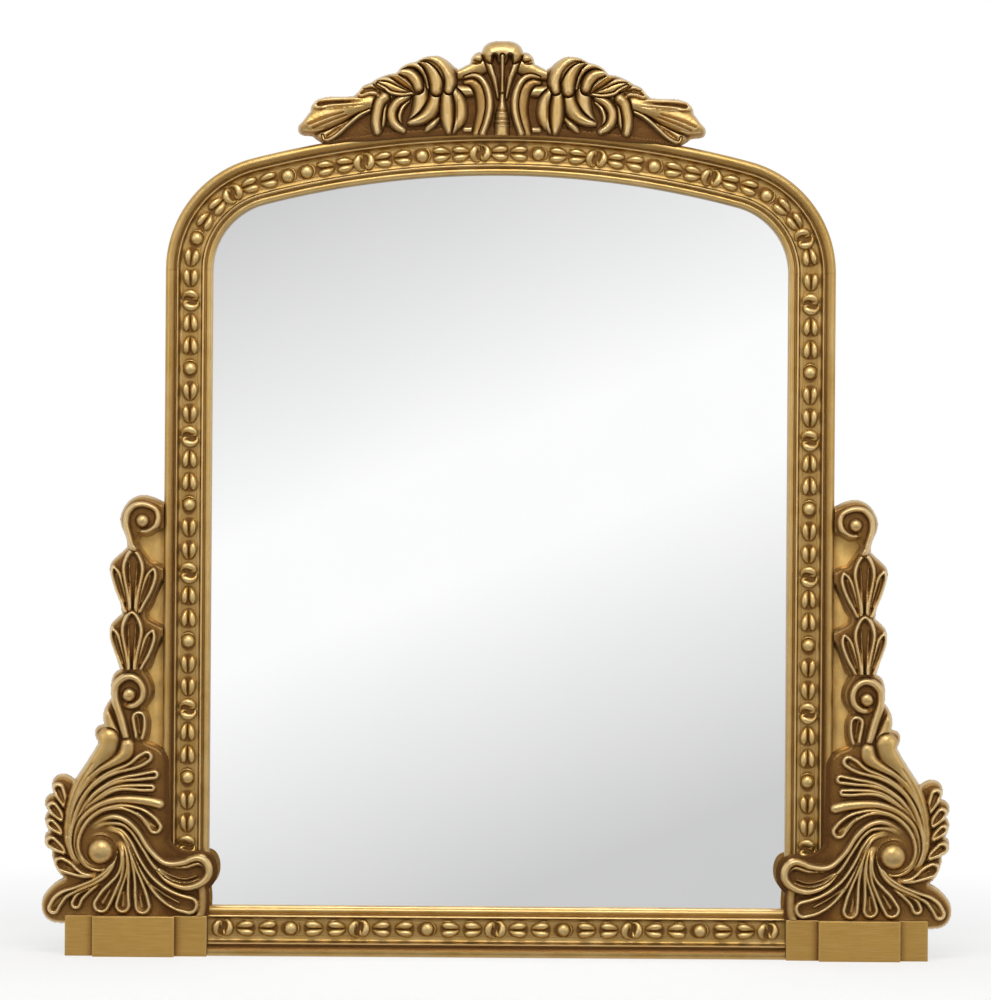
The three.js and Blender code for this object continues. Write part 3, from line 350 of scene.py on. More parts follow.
def zinc_plate():
    """Zinc-plated sheet steel: a cool satin metal with a faint spangle and fine rolling lines."""
    material, tree = new_material("zinc_plated_steel")
    place = add(tree, "TexCoord", output="Object")
    spangle = add(tree, "TexVoronoi", {"Vector": place, "Scale": cells(3.125)}, "Color")
    lines = add(tree, "Mapping", {"Vector": place, "Scale": cells(11.11, 11.11, 0.5556)})
    lines = add(tree, "TexNoise", {"Vector": lines, "Scale": 1, "Detail": 3})
    colour = add(tree, "Mix", {0: 0.12, 6: linear("#B9BCBD"), 7: spangle}, 2, data_type="RGBA",
                 blend_type="SOFT_LIGHT")
    rough = add(tree, "MapRange", {0: lines, 1: 0.3, 2: 0.7, 3: 0.28, 4: 0.42})
    steel = add(tree, "BsdfPrincipled", {"Base Color": colour, "Metallic": 1.0, "Roughness": rough})
    add(tree, "OutputMaterial", {"Surface": steel})
    return material


def felt():
    """Pressed wool felt: dark and matt, with a short fuzzy nap."""
    material, tree = new_material("pressed_wool_felt")
    place = add(tree, "TexCoord", output="Object")
    nap = add(tree, "TexNoise", {"Vector": place, "Scale": cells(0.6667), "Detail": 3, "Roughness": 0.8})
    colour = add(tree, "Mix", {0: nap, 6: linear("#26211C"), 7: linear("#4A4239")}, 2, data_type="RGBA")
    relief = add(tree, "Bump", {"Height": nap, "Strength": 0.6, "Distance": 0.3 * MM})
    wool = add(tree, "BsdfPrincipled", {
        "Base Color": colour, "Roughness": 0.95, "Normal": relief, "Sheen Weight": 0.3})
    add(tree, "OutputMaterial", {"Surface": wool})
    return material


MOULDING_PAINT = gilt("gold_paint_on_moulding", "#B99552", "#E4CA94", (40, 40, 40), 0.1, 0.38)
BEAD_PAINT = gilt("gold_paint_on_beads", "#B8944F", "#E8CE98", (16.67, 16.67, 16.67), 0.08, 0.4)
CARVING_PAINT = gilt("gold_paint_on_carving", "#BC9858", "#EBD4A4", (25, 25, 25), 0.1, 0.4)
# the board's gold is lighter than the same paint on the other parts, to make up for the shade the board
# stands in: painted light
BOARD_PAINT_LIGHTENED = gilt("gold_paint_on_board_lightened_against_shade", "#E4BA6A", "#F4DAA0", (4.545, 4.545, 16.67), 0.4, 0.45, 0.6)
PLINTH_PAINT = gilt("brushed_gold_paint", "#C4994C", "#F0D08C", (41.67, 16.67, 1.316), 0.2, 0.4, 0.15)
MIRROR_SILVER = silvered_glass()
FIBRE_BOARD = hardboard()
ZINC = zinc_plate()
WOOL_FELT = felt()


# ---------------------------------------------------------------- carving
GROUND = 40  # level, from the back of the frame, that the carver left between the lobes
CREST_GROUND = 36  # the crest is cut deeper
RIM = 49  # level of the raised edge round a hollow leaf
CARVING_BACK = BOARD_DEPTH + GAP
OVERLAP_BACK = MOULDING_DEPTH + GAP  # where a carving lies over the moulding
BROAD = 5  # half width from which a solid lobe has its full height
LIP = 1.4  # by which the rim of a hollow leaf stands outside its drawn width
WAVER = 0.4  # how deep a hand-held gouge wavers
NEAR, WIDE = 2.2, 6.5  # mm round a place over which hollows and edges are found
EDGE = 5  # mm along the outline over which the painted reflection on the outer walls and the painted shade along the moulding fade
TURN = 1.8  # how fully the walls turn into the front; 2 would be a quarter round


def curve(points, step):
    """A smooth curve through rows of numbers, with a row every step mm; two rows give a straight line."""
    knots = np.array(points, float)
    if len(knots) == 2:
        count = max(1, math.ceil(math.dist(*knots[:, :2]) / step))
        share = np.linspace(0, 1, count + 1)[:, None]
        return knots[0] * (1 - share) + knots[1] * share
    knots = np.vstack([2 * knots[0] - knots[1], knots, 2 * knots[-1] - knots[-2]])
    rows = []
    for a, b, c, d in zip(knots, knots[1:], knots[2:], knots[3:]):
        count = max(1, math.ceil(math.dist(b[:2], c[:2]) / step))
        t = (np.arange(count) / count)[:, None]
        rows.append(0.5 * (2 * b + (c - a) * t + (2 * a - 5 * b + 4 * c - d) * t ** 2
                           + (3 * b - a - 3 * c + d) * t ** 3))
    return np.vstack([*rows, knots[-2:-1]])


def blurred(field, spread):
    """The field averaged with its neighbours over about this many cells."""
    reach = math.ceil(2.5 * spread)
    shifts = np.arange(-reach, reach + 1)
    weights = np.exp(-0.5 * (shifts / spread) ** 2)
    weights /= weights.sum()
    padded = np.pad(field, reach, mode="edge")
    for axis in (0, 1):
        padded = sum(weight * np.roll(padded, shift, axis) for weight, shift in zip(weights, shifts))
    return padded[reach:-reach, reach:-reach]


def closest(edge, x, y):
    """How far each place of a grid is from a line of points, and which point is the nearest."""
    tree = kdtree.KDTree(len(edge))
    for i, (px, py) in enumerate(edge):
        tree.insert((px, py, 0), i)
    tree.balance()
    found = [tree.find((px, py, 0)) for px, py in zip(x.flat, y.flat)]
    away = np.array([distance for _, _, distance in found]).reshape(x.shape)
    return away, np.array([index for _, index, _ in found]).reshape(x.shape)


class Carving:
    """A block sawn to an outline and carved from the front, kept as levels over a fine grid.

    The lobes melt into one another in more ways than modelling operators can shape, so they are computed.
    Levels are mm from the back of the frame. The outline is strokes laid end to end, each starting where
    the one before it ends, and a spine is a line of (x, y, half width). pitch is the grid's step, and wall
    is how far in the rounded edge reaches. ground_wax lies between the lobes, and side_wax is shade
    painted on their flanks.
    A slope of 0.5 gives half-round lobes, and more gives ridged ones. swell is added to each side of a
    broad lobe, so that it meets its neighbours.
    """

    def __init__(self, outline, origin, pitch, wall=6.5, ground=GROUND, ground_wax=0.5, side_wax=0.3,
                 slope=0.5, swell=0.0):
        self.origin, self.pitch, self.wall, self.ground = origin, pitch, wall, ground
        self.ground_wax, self.side_wax, self.slope, self.swell = ground_wax, side_wax, slope, swell
        strokes = [[last[-1], *stroke] for last, stroke in zip([outline[-1], *outline], outline)]
        parts = [curve(stroke, 0.4)[:-1] for stroke in strokes]
        self.edge = np.vstack(parts)
        # a straight stroke is a saw cut against a neighbour; the others slope down to the board
        self.shaped = np.vstack([part for part, stroke in zip(parts, strokes) if len(stroke) > 2])
        low, high = np.floor(self.edge.min(0) / pitch) - 1, np.ceil(self.edge.max(0) / pitch) + 2
        # carved on a grid twice as fine as the finished surface
        self.x, self.y = np.meshgrid(
            np.arange(low[0], high[0], 0.5) * pitch, np.arange(low[1], high[1], 0.5) * pitch)
        self.level = np.full(self.x.shape, float(ground))
        self.wax = np.zeros(self.x.shape)  # left lying in the hollows, and painted shade on the flanks of lobes

    def around(self, spine):
        """The part of the grid round a spine, how far in from the lobe's side it lies, the half width
        there, and the share of the spine that is still ahead."""
        line = curve(spine, 1).astype(np.float32)
        reach = line[:, 2].max() + 1
        columns, rows = (
            np.searchsorted(axis, (line[:, i].min() - reach, line[:, i].max() + reach))
            for i, axis in enumerate((self.x[0], self.y[:, 0])))
        window = np.s_[rows[0]:rows[1], columns[0]:columns[1]]
        x, y = (axis[window].astype(np.float32)[..., None] for axis in (self.x, self.y))
        inset = line[:, 2] - np.hypot(x - line[:, 0], y - line[:, 1])
        nearest = inset.argmax(-1)
        return window, inset.max(-1), line[nearest, 2], 1 - nearest / (len(line) - 1)

    def lay(self, window, inset, carved, ahead, melt, wax):
        """Puts a lobe over what is there; the last part of its spine, melt, runs out into it."""
        hold = np.clip(ahead / melt, 0, 1) if melt else 1
        hold = np.where(inset > 0, hold * hold * (3 - 2 * hold), 0)
        for field, new in ((self.level, carved), (self.wax, wax)):
            field[window] += (new - field[window]) * hold

    def full(self, *spines, rise=9, melt=0.0, wax=0.0):
        """Rounded solid lobes."""
        for spine in spines:
            if max(half for _, _, half in spine) > BROAD:
                spine = [(x, y, half + self.swell) for x, y, half in spine]
            window, inset, half, ahead = self.around(spine)
            share = np.clip(1 - inset / half, 0, 1)
            crown = self.ground + rise * np.minimum(half / BROAD, 1) * (1 - share ** 2) ** self.slope
            # the flanks of a lobe darken towards its foot: painted shade
            self.lay(window, inset, crown, ahead, melt, wax + self.side_wax * share ** 2)

    def hollow(self, *spines, rim=7.4, top=RIM, depth=7.5, melt=0.25, foot=None, wax=0.4):
        """Gouged leaves: a narrow rounded rim round a smooth hollow."""
        foot = self.ground if foot is None else foot
        for spine in spines:
            spine = [(x, y, half + LIP) for x, y, half in spine]
            window, inset, half, ahead = self.around(spine)
            crest = np.minimum(rim / 2, half)
            rise = (top - foot) * np.clip(half / 3.6, 0.55, 1)
            outer = rise * np.sqrt(1 - np.clip(1 - inset / crest, 0, 1) ** 2)
            fall = 0.5 - 0.5 * np.cos(np.pi * np.clip((inset - crest) / np.clip(0.5 * half, 2, 4.5), 0, 1))
            fall *= np.clip((half - crest) / 2.4, 0, 1)
            carved = foot + np.where(inset < crest, outer, rise - depth * fall)
            self.lay(window, inset, carved, ahead, melt, wax * fall)

    def raised(self, *spines, rise):
        """Thin ridges laid on what is there, or grooves where the rise is negative."""
        for spine in spines:
            window, inset, half, _ = self.around(spine)
            share = np.clip(1 - inset / half, 0, 1)
            self.level[window] += rise * (1 - share ** 2) ** 1.5

    def ball(self, x, y, radius, rise, ring=4.5):
        """A boss in the middle of a scroll, with a groove as wide as the ring cut round it."""
        away = np.hypot(self.x - x, self.y - y)
        groove = np.clip(1 - np.abs(away - radius - ring / 2) / (ring / 2), 0, 1)
        cut = np.minimum(self.level, self.ground + 3 - 5 * groove ** 0.5)
        self.level = np.where(groove > 0, cut, self.level)
        dome = self.ground - 1 + (rise + 1) * np.sqrt(1 - np.clip(away / radius, 0, 1) ** 2)
        self.level = np.where(away < radius, dome, self.level)

    def inside(self, x, y):
        """Whether each place of a grid lies within the outline."""
        ahead = np.roll(self.edge, -1, 0)
        result = np.zeros(x.shape, bool)
        for row, height in enumerate(y[:, 0]):
            crossing = (self.edge[:, 1] <= height) != (ahead[:, 1] <= height)
            (x0, y0), (x1, y1) = self.edge[crossing].T, ahead[crossing].T
            cuts = np.sort(x0 + (x1 - x0) * (height - y0) / (y1 - y0))
            result[row] = np.searchsorted(cuts, x[row]) % 2 == 1
        return result

    def finished(self, lies_over):
        """The level, darkening and paling of the surface, after the tool marks and a light sanding; the
        darkening is wax in the hollows with painted shade, and the paling is rubbed wear with painted
        highlight.
        """
        ground = np.where(lies_over, np.maximum(self.ground, OVERLAP_BACK + 1), self.ground)
        grain = np.random.default_rng(11).normal(size=self.level.shape)
        tool = blurred(grain, 4) + 0.6 * blurred(grain, 1.6)
        level = blurred(np.maximum(self.level, ground) + WAVER * tool, 0.9)
        near, wide = (blurred(level, mm * 2 / self.pitch) for mm in (NEAR, WIDE))
        # the ground is darker still where the carving lies over the moulding, as painted shade where it
        # stands off the frame, and this thins out past the frame's side without a hard line
        low_ground = np.clip((ground + 2.2 - level) / 2, 0, 1)
        low_ground *= self.ground_wax + (0.85 - self.ground_wax) * blurred(lies_over.astype(float), 10)
        patina_and_shade = 0.22 * np.maximum(near - level - 0.7, 0) + 0.06 * (wide - level)
        patina_and_shade = np.clip(patina_and_shade + low_ground + blurred(self.wax, 1.5), 0, 1)
        # raised places are made pale: rubbed wear, with a painted highlight on the rims
        rub_and_sheen = np.clip(0.22 * (level - near) + 0.04 * (level - wide) - 0.1, 0, 0.7)
        return level, patina_and_shade, rub_and_sheen

    def piece(self, over=None, seam=None):
        """The finished mesh: the carved front, drafted walls and a flat back.

        over(x, y) tells where the back is stepped to lie on the moulding, and seam(a, b) gives the places
        along that step.
        """
        over = over or (lambda x, y: np.zeros(x.shape, bool))
        fields = self.x, self.y, *self.finished(over(self.x, self.y))
        x, y, level, patina_and_shade, rub_and_sheen = (field[::2, ::2].copy() for field in fields)

        # cells that touch the inside are kept, and their outer corners are moved onto the outline
        away, nearest = closest(self.edge, x, y)
        inner = self.inside(x, y) & (away > 0.35 * self.pitch)
        from_edge = closest(self.shaped, x, y)[0]
        cells_in = inner[:-1, :-1] | inner[1:, :-1] | inner[:-1, 1:] | inner[1:, 1:]
        used = np.zeros(inner.shape, bool)
        for dr, dc in ((0, 0), (0, 1), (1, 0), (1, 1)):
            used[dr:used.shape[0] - 1 + dr, dc:used.shape[1] - 1 + dc] |= cells_in
        on_edge = used & ~inner
        x[on_edge], y[on_edge] = self.edge[nearest[on_edge]].T

        lies_over = over(x, y)
        back = np.where(lies_over, OVERLAP_BACK, CARVING_BACK)
        share = np.clip(from_edge / np.where(lies_over, 0.6 * self.wall, self.wall), 0, 1)
        level = back + (np.maximum(level, back + 1) - back) * (1 - (1 - share) ** TURN) ** (1 / TURN)
        # darker where a wall meets the moulding: painted shade between the parts; the outer walls are kept
        # clear of wax and made pale: a painted reflection of the white round the frame
        patina_and_shade = np.where(lies_over, patina_and_shade + 0.3 * np.clip(1.6 - from_edge / EDGE, 0, 1),
                          patina_and_shade * np.clip((from_edge - 1.5) / EDGE, 0, 1))
        rub_and_sheen = np.maximum(rub_and_sheen, np.where(lies_over, 0.0, 0.5) * np.clip(1 - from_edge / EDGE, 0, 1))

        number = np.full(x.shape, -1)
        number[used] = np.arange(used.sum())
        quads = np.stack([part[cells_in] for part in (
            number[:-1, :-1], number[:-1, 1:], number[1:, 1:], number[1:, :-1])], -1)
        places = np.stack([x[used], y[used], level[used]], -1)

        # round the edge of the carved sheet stands a wall, as high as a saw cut leaves it, down to the back
        edges = np.concatenate([quads[:, [i, (i + 1) % 4]] for i in range(4)])
        known = set(map(tuple, edges.tolist()))
        onward = {a: b for a, b in known if (b, a) not in known}
        rim = [next(iter(onward))]
        while onward[rim[-1]] != rim[0]:
            rim.append(onward[rim[-1]])
        rim.reverse()
        high = lies_over[used][rim]
        foot = places[rim]
        foot[:, 2] = np.where(high, OVERLAP_BACK, CARVING_BACK)
        cut = places[rim, 2] > foot[:, 2] + 0.05
        loop = np.where(cut, len(places) + np.cumsum(cut) - 1, rim).tolist()
        places = np.vstack([places, foot[cut]])
        walls = []
        for a, b, b_foot, a_foot in zip(rim, rim[1:] + rim[:1], loop[1:] + loop[:1], loop):
            wall = list(dict.fromkeys((a, b, b_foot, a_foot)))
            if len(wall) > 2:
                walls.append(wall)
        if seam:
            first = next(i for i in range(len(loop)) if high[i] and not high[i - 1])
            loop, high = loop[first:] + loop[:first], np.roll(high, -first)
            turn = int(high.sum())
            upper, lower = loop[:turn], loop[turn:]
            steps = seam(places[upper[-1]], places[upper[0]])
            base = len(places)
            levels = (OVERLAP_BACK, CARVING_BACK)
            places = np.vstack([places, *[[px, py, z] for px, py in steps for z in levels]])
            above = [upper[-1], *range(base, base + 2 * len(steps), 2), upper[0]]
            below = [lower[0], *range(base + 1, base + 2 * len(steps), 2), lower[-1]]
            backs = [upper + above[1:-1], lower + below[1:-1][::-1],
                     *[[a, c, d, b] for a, b, c, d in zip(above, above[1:], below, below[1:])]]
        else:
            backs = [loop]

        bare = np.zeros(len(places) - used.sum())
        places[:, :2] += self.origin
        world = np.stack([places[:, 0], BACK - places[:, 2], places[:, 1]], -1) * MM
        obj = from_points("carving", world.tolist(), quads.tolist() + walls + backs)
        stain(obj, np.append(patina_and_shade[used], bare), np.append(rub_and_sheen[used], bare))
        return smooth(obj, 75)


# Side carvings are drawn from [the side of the frame, the floor], outwards and up.
BRACKET = (SIDE, 0)
# Crest carvings are drawn from [the middle, the top of the arch].
CREST = (0, OUTER_TOP)
CREST_CUT = {"wall": 5, "ground": CREST_GROUND, "ground_wax": 0.85, "side_wax": 0.5, "slope": 0.62}


HUSK_SEAT = PLINTH_TOP + 319.2  # where the husk drop stands on the acanthus scroll
HUSK_STEP = 80


def husk_drop():
    """Two husks one above the other, under a scroll."""
    seat = HUSK_SEAT + GAP
    drop = Carving([
        [(61, 385), (67, 402), (70.5, 414), (70, 426), (65, 435), (55, 444)],
        [(57, 458), (63, 472), (68, 488), (71, 502), (68, 512), (58, 522), (47, 532)],
        [(51, 546), (56, 558), (57.5, 570), (52, 584), (43, 594), (30, 599), (16, 597), (GAP, 590)],
        [(GAP, 553)],
        [(8, 551), (20, 545), (31, 545), (34, 538)],
        [(28, 529), (22, 521), (16, 514), (8, 512), (GAP, 508)],
        [(GAP, 487)],
        [(8, 470), (14, 455), (20, 447)],
        [(18, 440), (8, 434), (GAP, 430)],
        [(GAP, 412)],
        [(8, 395), (14, 378), (17, seat)],
        [(57, seat)],
    ], BRACKET, pitch=0.7)
    for row in (0, 1):
        def husk(*spines):
            return [[(x + row, y - HUSK_STEP * row, half) for x, y, half in spine] for spine in spines]
        drop.hollow(*husk(
            [(64, 504, 2.5), (62, 496, 6.5), (59, 486, 7.6), (55, 474, 7), (50, 461, 5.4), (47, 450, 3.6)],
            [(12.5, 502, 2.5), (15, 494, 6.5), (18.5, 484, 7.6), (23, 472, 7), (28, 460, 5.4),
             (31, 450, 3.6)],
        ), depth=7, wax=0.5, rim=6.4, melt=0)
        drop.raised(*husk(
            [(61, 496, 1.4), (57, 480, 1.8), (50, 460, 1.4)],
            [(16, 494, 1.4), (21, 478, 1.8), (28, 460, 1.4)],
        ), rise=3)
        drop.hollow(*husk(
            [(39, 526, 2.5), (39, 518, 9), (39, 504, 14), (39, 490, 12.5), (39, 476, 9.5), (39, 461, 7),
             (39, 450, 6)],
        ), depth=7.5, wax=0.45, rim=7.4, melt=0)
        drop.raised(*husk(
            [(34, 512, 1.4), (35, 490, 2), (36.5, 470, 2), (37, 452, 1.6)],
            [(44, 512, 1.4), (43, 490, 2), (41.5, 470, 2), (41, 452, 1.6)],
        ), rise=3.5)
    drop.full([
        (38, 530, 5.5), (43, 540, 5), (46, 550, 4.8), (48, 560, 4.5), (48, 570, 4.5), (45, 578, 4.5),
        (38, 585, 4.2), (28, 587, 4), (18, 585, 4), (10, 580, 4), (7, 571, 4.2), (9, 561, 4.4),
        (15, 554.5, 4.2), (22, 551.5, 3.8), (29, 551.5, 3.2), (34, 554, 2.4),
    ], rise=10, melt=0.05)
    drop.full([(27.5, 566, 9), (27.6, 566, 9)], rise=10)
    return drop.piece()


def acanthus_scroll():
    """The big scroll: leaves that sweep up over the side of the frame and wind round a ball."""
    top, bottom = HUSK_SEAT - GAP, 40
    past = PLINTH_HIGH.x - SIDE + GAP  # beyond the end of the plinth, over which the tip hangs down
    scroll = Carving([
        [(63.5, 367), (67.5, 358), (68.5, 346), (68, 334)],
        [(73, 327), (77, 318), (78.5, 309), (77, 300)],
        [(84, 298), (88.5, 292), (88, 284), (84, 276)],
        [(92, 262), (101, 248), (109, 236), (114.5, 228)],
        [(120, 232), (128, 235), (137, 233.5), (143, 227), (144.5, 218), (142, 210)],
        [(148, 208), (152.5, 202), (153, 194), (149, 187)],
        [(152.5, 181), (153, 174), (151, 167), (148, 161)],
        [(152, 157), (153.5, 149), (151.5, 141), (144, 135.5)],
        [(143.5, 128), (140.5, 117), (135, 107), (128, 100)],
        [(137, 95), (146, 87), (153.5, 77), (157, 66), (155, 54), (149, 46), (140, 41.5), (past, bottom)],
        [(past, PLINTH_TOP)],
        [(-62, PLINTH_TOP)],
        [(-63, 70), (-62, 88)],
        [(-69, 96), (-73, 108), (-72, 122), (-65.5, 133), (-52, 138)],
        [(-34, 137), (-20, 142), (-10, 152)],
        [(-12, 175), (-10, 200), (-9, 235), (-8, 258), (4, 272), (19, 279)],
        [(16, 292), (16, 308), (21.5, 323)],
        [(14, 333), (11, 345), (14, 358), (22, top)],
        [(57, top)],
    ], BRACKET, pitch=0.8)

    # frills down the outside
    frills = [
        [(134, 216, 8), (130, 207, 6.5), (126, 198, 4.5), (123, 190, 2.5)],
        [(141, 192, 7.5), (135, 185, 6.5), (130, 178, 4), (127, 172, 2.2)],
        [(143, 171, 6.5), (137, 166, 5.5), (131, 160, 3.5), (128, 154, 2.2)],
        [(142, 147, 8), (135, 142, 6.5), (128, 137, 4.5), (121, 131, 2.5)],
    ]
    scroll.hollow(*frills)
    scroll.raised(*[[(*spine[0][:2], 1.5), (*spine[1][:2], 1.7), (*spine[3][:2], 1.2)] for spine in frills],
                  rise=2.2)

    # the small upper scroll and its leaf
    scroll.full([(72, 322, 1.5), (71, 312, 6), (68, 300, 8), (60, 290, 5)], rise=8)
    scroll.hollow([(30, 309, 9.5), (29, 298, 8.5), (29, 288, 6.5), (31, 279, 3.5)])
    scroll.raised([(32, 311, 1.8), (30, 300, 2), (29, 290, 1.5)], rise=3.5)
    scroll.full([
        (47, 286, 5.5), (50, 296, 6), (54, 310, 6.2), (59, 325, 6), (62, 340, 6), (60, 352, 5.8),
        (51, 361, 5.5), (40, 363, 5.2), (30, 357, 5), (25, 346, 5), (27, 334, 4.8), (36, 326, 4.6),
        (45, 325, 4.2), (51, 329, 3.6),
    ], rise=10, melt=0.08)
    scroll.full([(44, 339.5, 9.5), (43.5, 340, 9.5)], rise=10.5)
    scroll.raised([(53, 338, 1.6), (50, 346, 2), (43, 349.5, 2), (36, 346, 1.6)], rise=-5)

    # the smooth body of the big scroll, then the leaves that come off it towards the frame
    scroll.full([
        (70, 282, 15), (74, 269, 15), (84, 255, 14), (95, 238, 13), (104, 220, 13), (111, 200, 13),
        (115, 180, 12), (117, 160, 11), (116, 142, 9), (111, 126, 6), (104, 116, 3),
    ], rise=10, melt=0.1)
    scroll.full([(45, 274, 9.5), (47, 264, 10), (56, 256, 7.5), (68, 249, 6), (80, 242, 5), (95, 228, 4),
                 (106, 210, 3)], melt=0.6)
    scroll.hollow(
        [(20, 259, 8), (28, 254, 8), (36, 249, 6.2), (45, 245, 4.6), (60, 240, 3.8), (76, 232, 3.4),
         (91, 220, 3), (103, 204, 2.8), (111, 185, 2.6), (115, 165, 2.4), (116, 145, 2)],
        [(10, 236, 6), (20, 234.5, 5.4), (32, 232.5, 4.8), (45, 231, 4.2), (60, 227, 3.6), (75, 219, 3.2),
         (89, 208, 2.9), (99, 194, 2.7), (107, 177, 2.5), (111, 160, 2.2)],
        [(13, 219, 4.6), (25, 219, 4.8), (40, 219.5, 4.2), (52, 219, 3.8), (65, 215.5, 3.5), (79, 207, 3.2),
         (91, 196, 2.8), (100, 182, 2.6), (106, 168, 2.2)],
        melt=0.4)
    scroll.raised([(90, 250, 1.6), (104, 228, 2.2), (114, 204, 2.2), (120, 178, 2),
                   (122, 155, 1.4)], rise=-2)
    scroll.raised([(22, 257, 1.6), (30, 252, 1.5), (38, 248, 1)], rise=1.2)

    # the rolled band and the long leaf inside it
    scroll.full([
        (3, 198, 7), (15, 201, 7), (30, 203, 6.5), (45, 204, 6), (60, 203, 5.5), (75, 199, 5.2),
        (88, 192, 4.8), (100, 182, 4.4), (108, 170, 4), (112, 155, 3.6), (112, 142, 3.3), (108, 130, 3),
        (100, 119, 2.8), (90, 113, 2.6), (80, 111, 2.4), (72, 113, 2.2),
    ], rise=9.5)
    scroll.hollow([
        (8, 168, 9), (14, 176, 8.5), (24, 185, 6.8), (37, 191, 5), (50, 194, 3.8), (62, 193.5, 3),
        (76, 190, 2.6), (89, 182, 2.4), (99, 171, 2.2), (106, 157, 2), (108, 143, 2), (105, 131, 2),
        (98, 121, 2), (89, 115, 2), (80, 113, 2),
    ])
    scroll.raised([(31, 187, 1.6), (20, 178, 3), (9, 168, 3.8)], rise=4.5)

    # leaves from below, winding over the ball
    scroll.full([(-48, 50, 5), (-52.5, 58, 6), (-54, 70, 6), (-54, 82, 6), (-52, 94, 6)], rise=5, wax=0.25)
    scroll.hollow([
        (-48, 110, 13), (-35, 106, 13), (-20, 107, 12), (-5, 113, 9), (8, 124, 7), (18, 138, 6),
        (27, 152, 6), (36, 165, 6), (48, 174, 5.5), (62, 176, 5), (75, 174, 4.4), (86, 168, 4),
        (92, 160, 3),
    ])
    scroll.full([
        (5.5, 111, 2), (-5, 100, 3), (-18, 93, 4), (-31, 90, 4.8), (-44, 92, 5.4), (-55, 98, 5.8),
        (-61.5, 107, 6), (-61, 117, 6), (-56, 125, 6), (-48, 128.5, 5.8), (-39, 126.5, 5.4),
        (-29, 122.5, 5), (-12, 120.5, 4.6), (1, 125, 4.4), (17, 141, 4.2), (29, 160, 4.2), (41, 173, 4.4),
        (54, 180, 4.4), (67, 181, 4.2), (80, 177, 3.6), (90, 169, 2.6),
    ], rise=12.5, melt=0.12)
    scroll.raised([(1.6, 114, 1.6), (-14, 105, 2), (-31, 101, 2), (-46, 105, 2)], rise=5)
    scroll.hollow([
        (-37, 67, 11.5), (-22, 71, 11.5), (-7, 79, 10), (6, 90, 8), (17, 103, 6), (26, 117, 5),
        (34, 132, 4.5), (41, 147, 4.2), (51, 160, 3.8), (64, 165, 3.2), (78, 165, 2.6),
    ])
    scroll.raised([(15, 95, 1.5), (-4, 81, 2), (-24, 70, 1.8)], rise=5)
    scroll.hollow(
        [(23.5, 65, 10.5), (26, 80, 9), (29.5, 97, 6), (33, 110, 4), (38, 125, 3), (44, 140, 2.6),
         (52, 152, 2.4)],
        [(49.5, 66, 10), (48, 80, 7.5), (45, 98, 4.5), (43, 112, 3), (44, 127, 2.4), (48, 140, 2.2),
         (56, 150, 2)],
        [(77, 67, 11), (70, 79, 10), (62, 91, 7.5), (55, 102, 5), (51, 114, 3.5), (50, 127, 2.8),
         (52, 140, 2.4), (58, 150, 2.2)],
    )
    scroll.raised([(25, 64, 5), (27, 78, 2)], [(49, 66, 5), (48, 82, 2)],
                  [(75, 70, 5), (66, 85, 2)], rise=5)
    scroll.hollow(
        [(110, 68, 7), (106, 76, 6.5), (98, 83, 5), (88, 90, 3.5), (79, 97, 2.5)],
        [(130, 119, 9.5), (121, 115, 8.5), (111, 109, 5.5), (101, 105, 3.5), (91, 104.5, 2.5),
         (82, 107, 2)],
    )
    scroll.hollow([
        (139, 62, 7.5), (134, 71, 7.5), (126, 79, 6), (114, 85, 4.5), (102, 90, 4), (90, 95, 4),
        (78, 102, 4), (69, 110, 3.6), (63, 121, 3.2), (61, 134, 3), (64, 146, 2.8), (73, 154, 2.6),
        (84, 155, 2.4), (93, 149, 2.2),
    ])
    scroll.raised([(140, 62, 2), (131, 74, 2.2), (118, 82, 1.5)], [(126, 117, 2), (112, 110, 1.6)], rise=2)
    scroll.ball(79, 136, 17, rise=12)
    return scroll.piece(over=lambda x, y: x < 0.5, seam=lambda a, b: [])


STEP_RADIUS = CROWN_RADIUS + MOULDING_WIDTH + GAP  # of the step in the backs that fits over the arch
STEP_MIDDLE = CROWN_Z - OUTER_TOP


def over_arch(x, y):
    return np.hypot(x, y - STEP_MIDDLE) < STEP_RADIUS


def arch_seam(a, b):
    """Places along the outer edge of the arch, from one end of a carving to the other."""
    first, last = (math.atan2(x, y - STEP_MIDDLE) for x, y, _ in (a, b))
    turns = np.linspace(first, last, 14)[1:-1]
    return [(STEP_RADIUS * math.sin(turn), STEP_MIDDLE + STEP_RADIUS * math.cos(turn)) for turn in turns]


def both(*spines):
    """Spines with their reflections in the middle line."""
    return [*spines, *[[(-x, y, half) for x, y, half in spine] for spine in spines]]


SEAM = 58  # where the plume meets the wings, from the middle
# the broad outer leaf beside the seam is carved across it
SEAM_LEAF = [(66, 49, 4), (57, 38, 6.5), (53.5, 24, 7.4), (55, 10, 7), (64, -4, 4)]
SWELL = 2.0  # by which broad leaves of the crest overlap


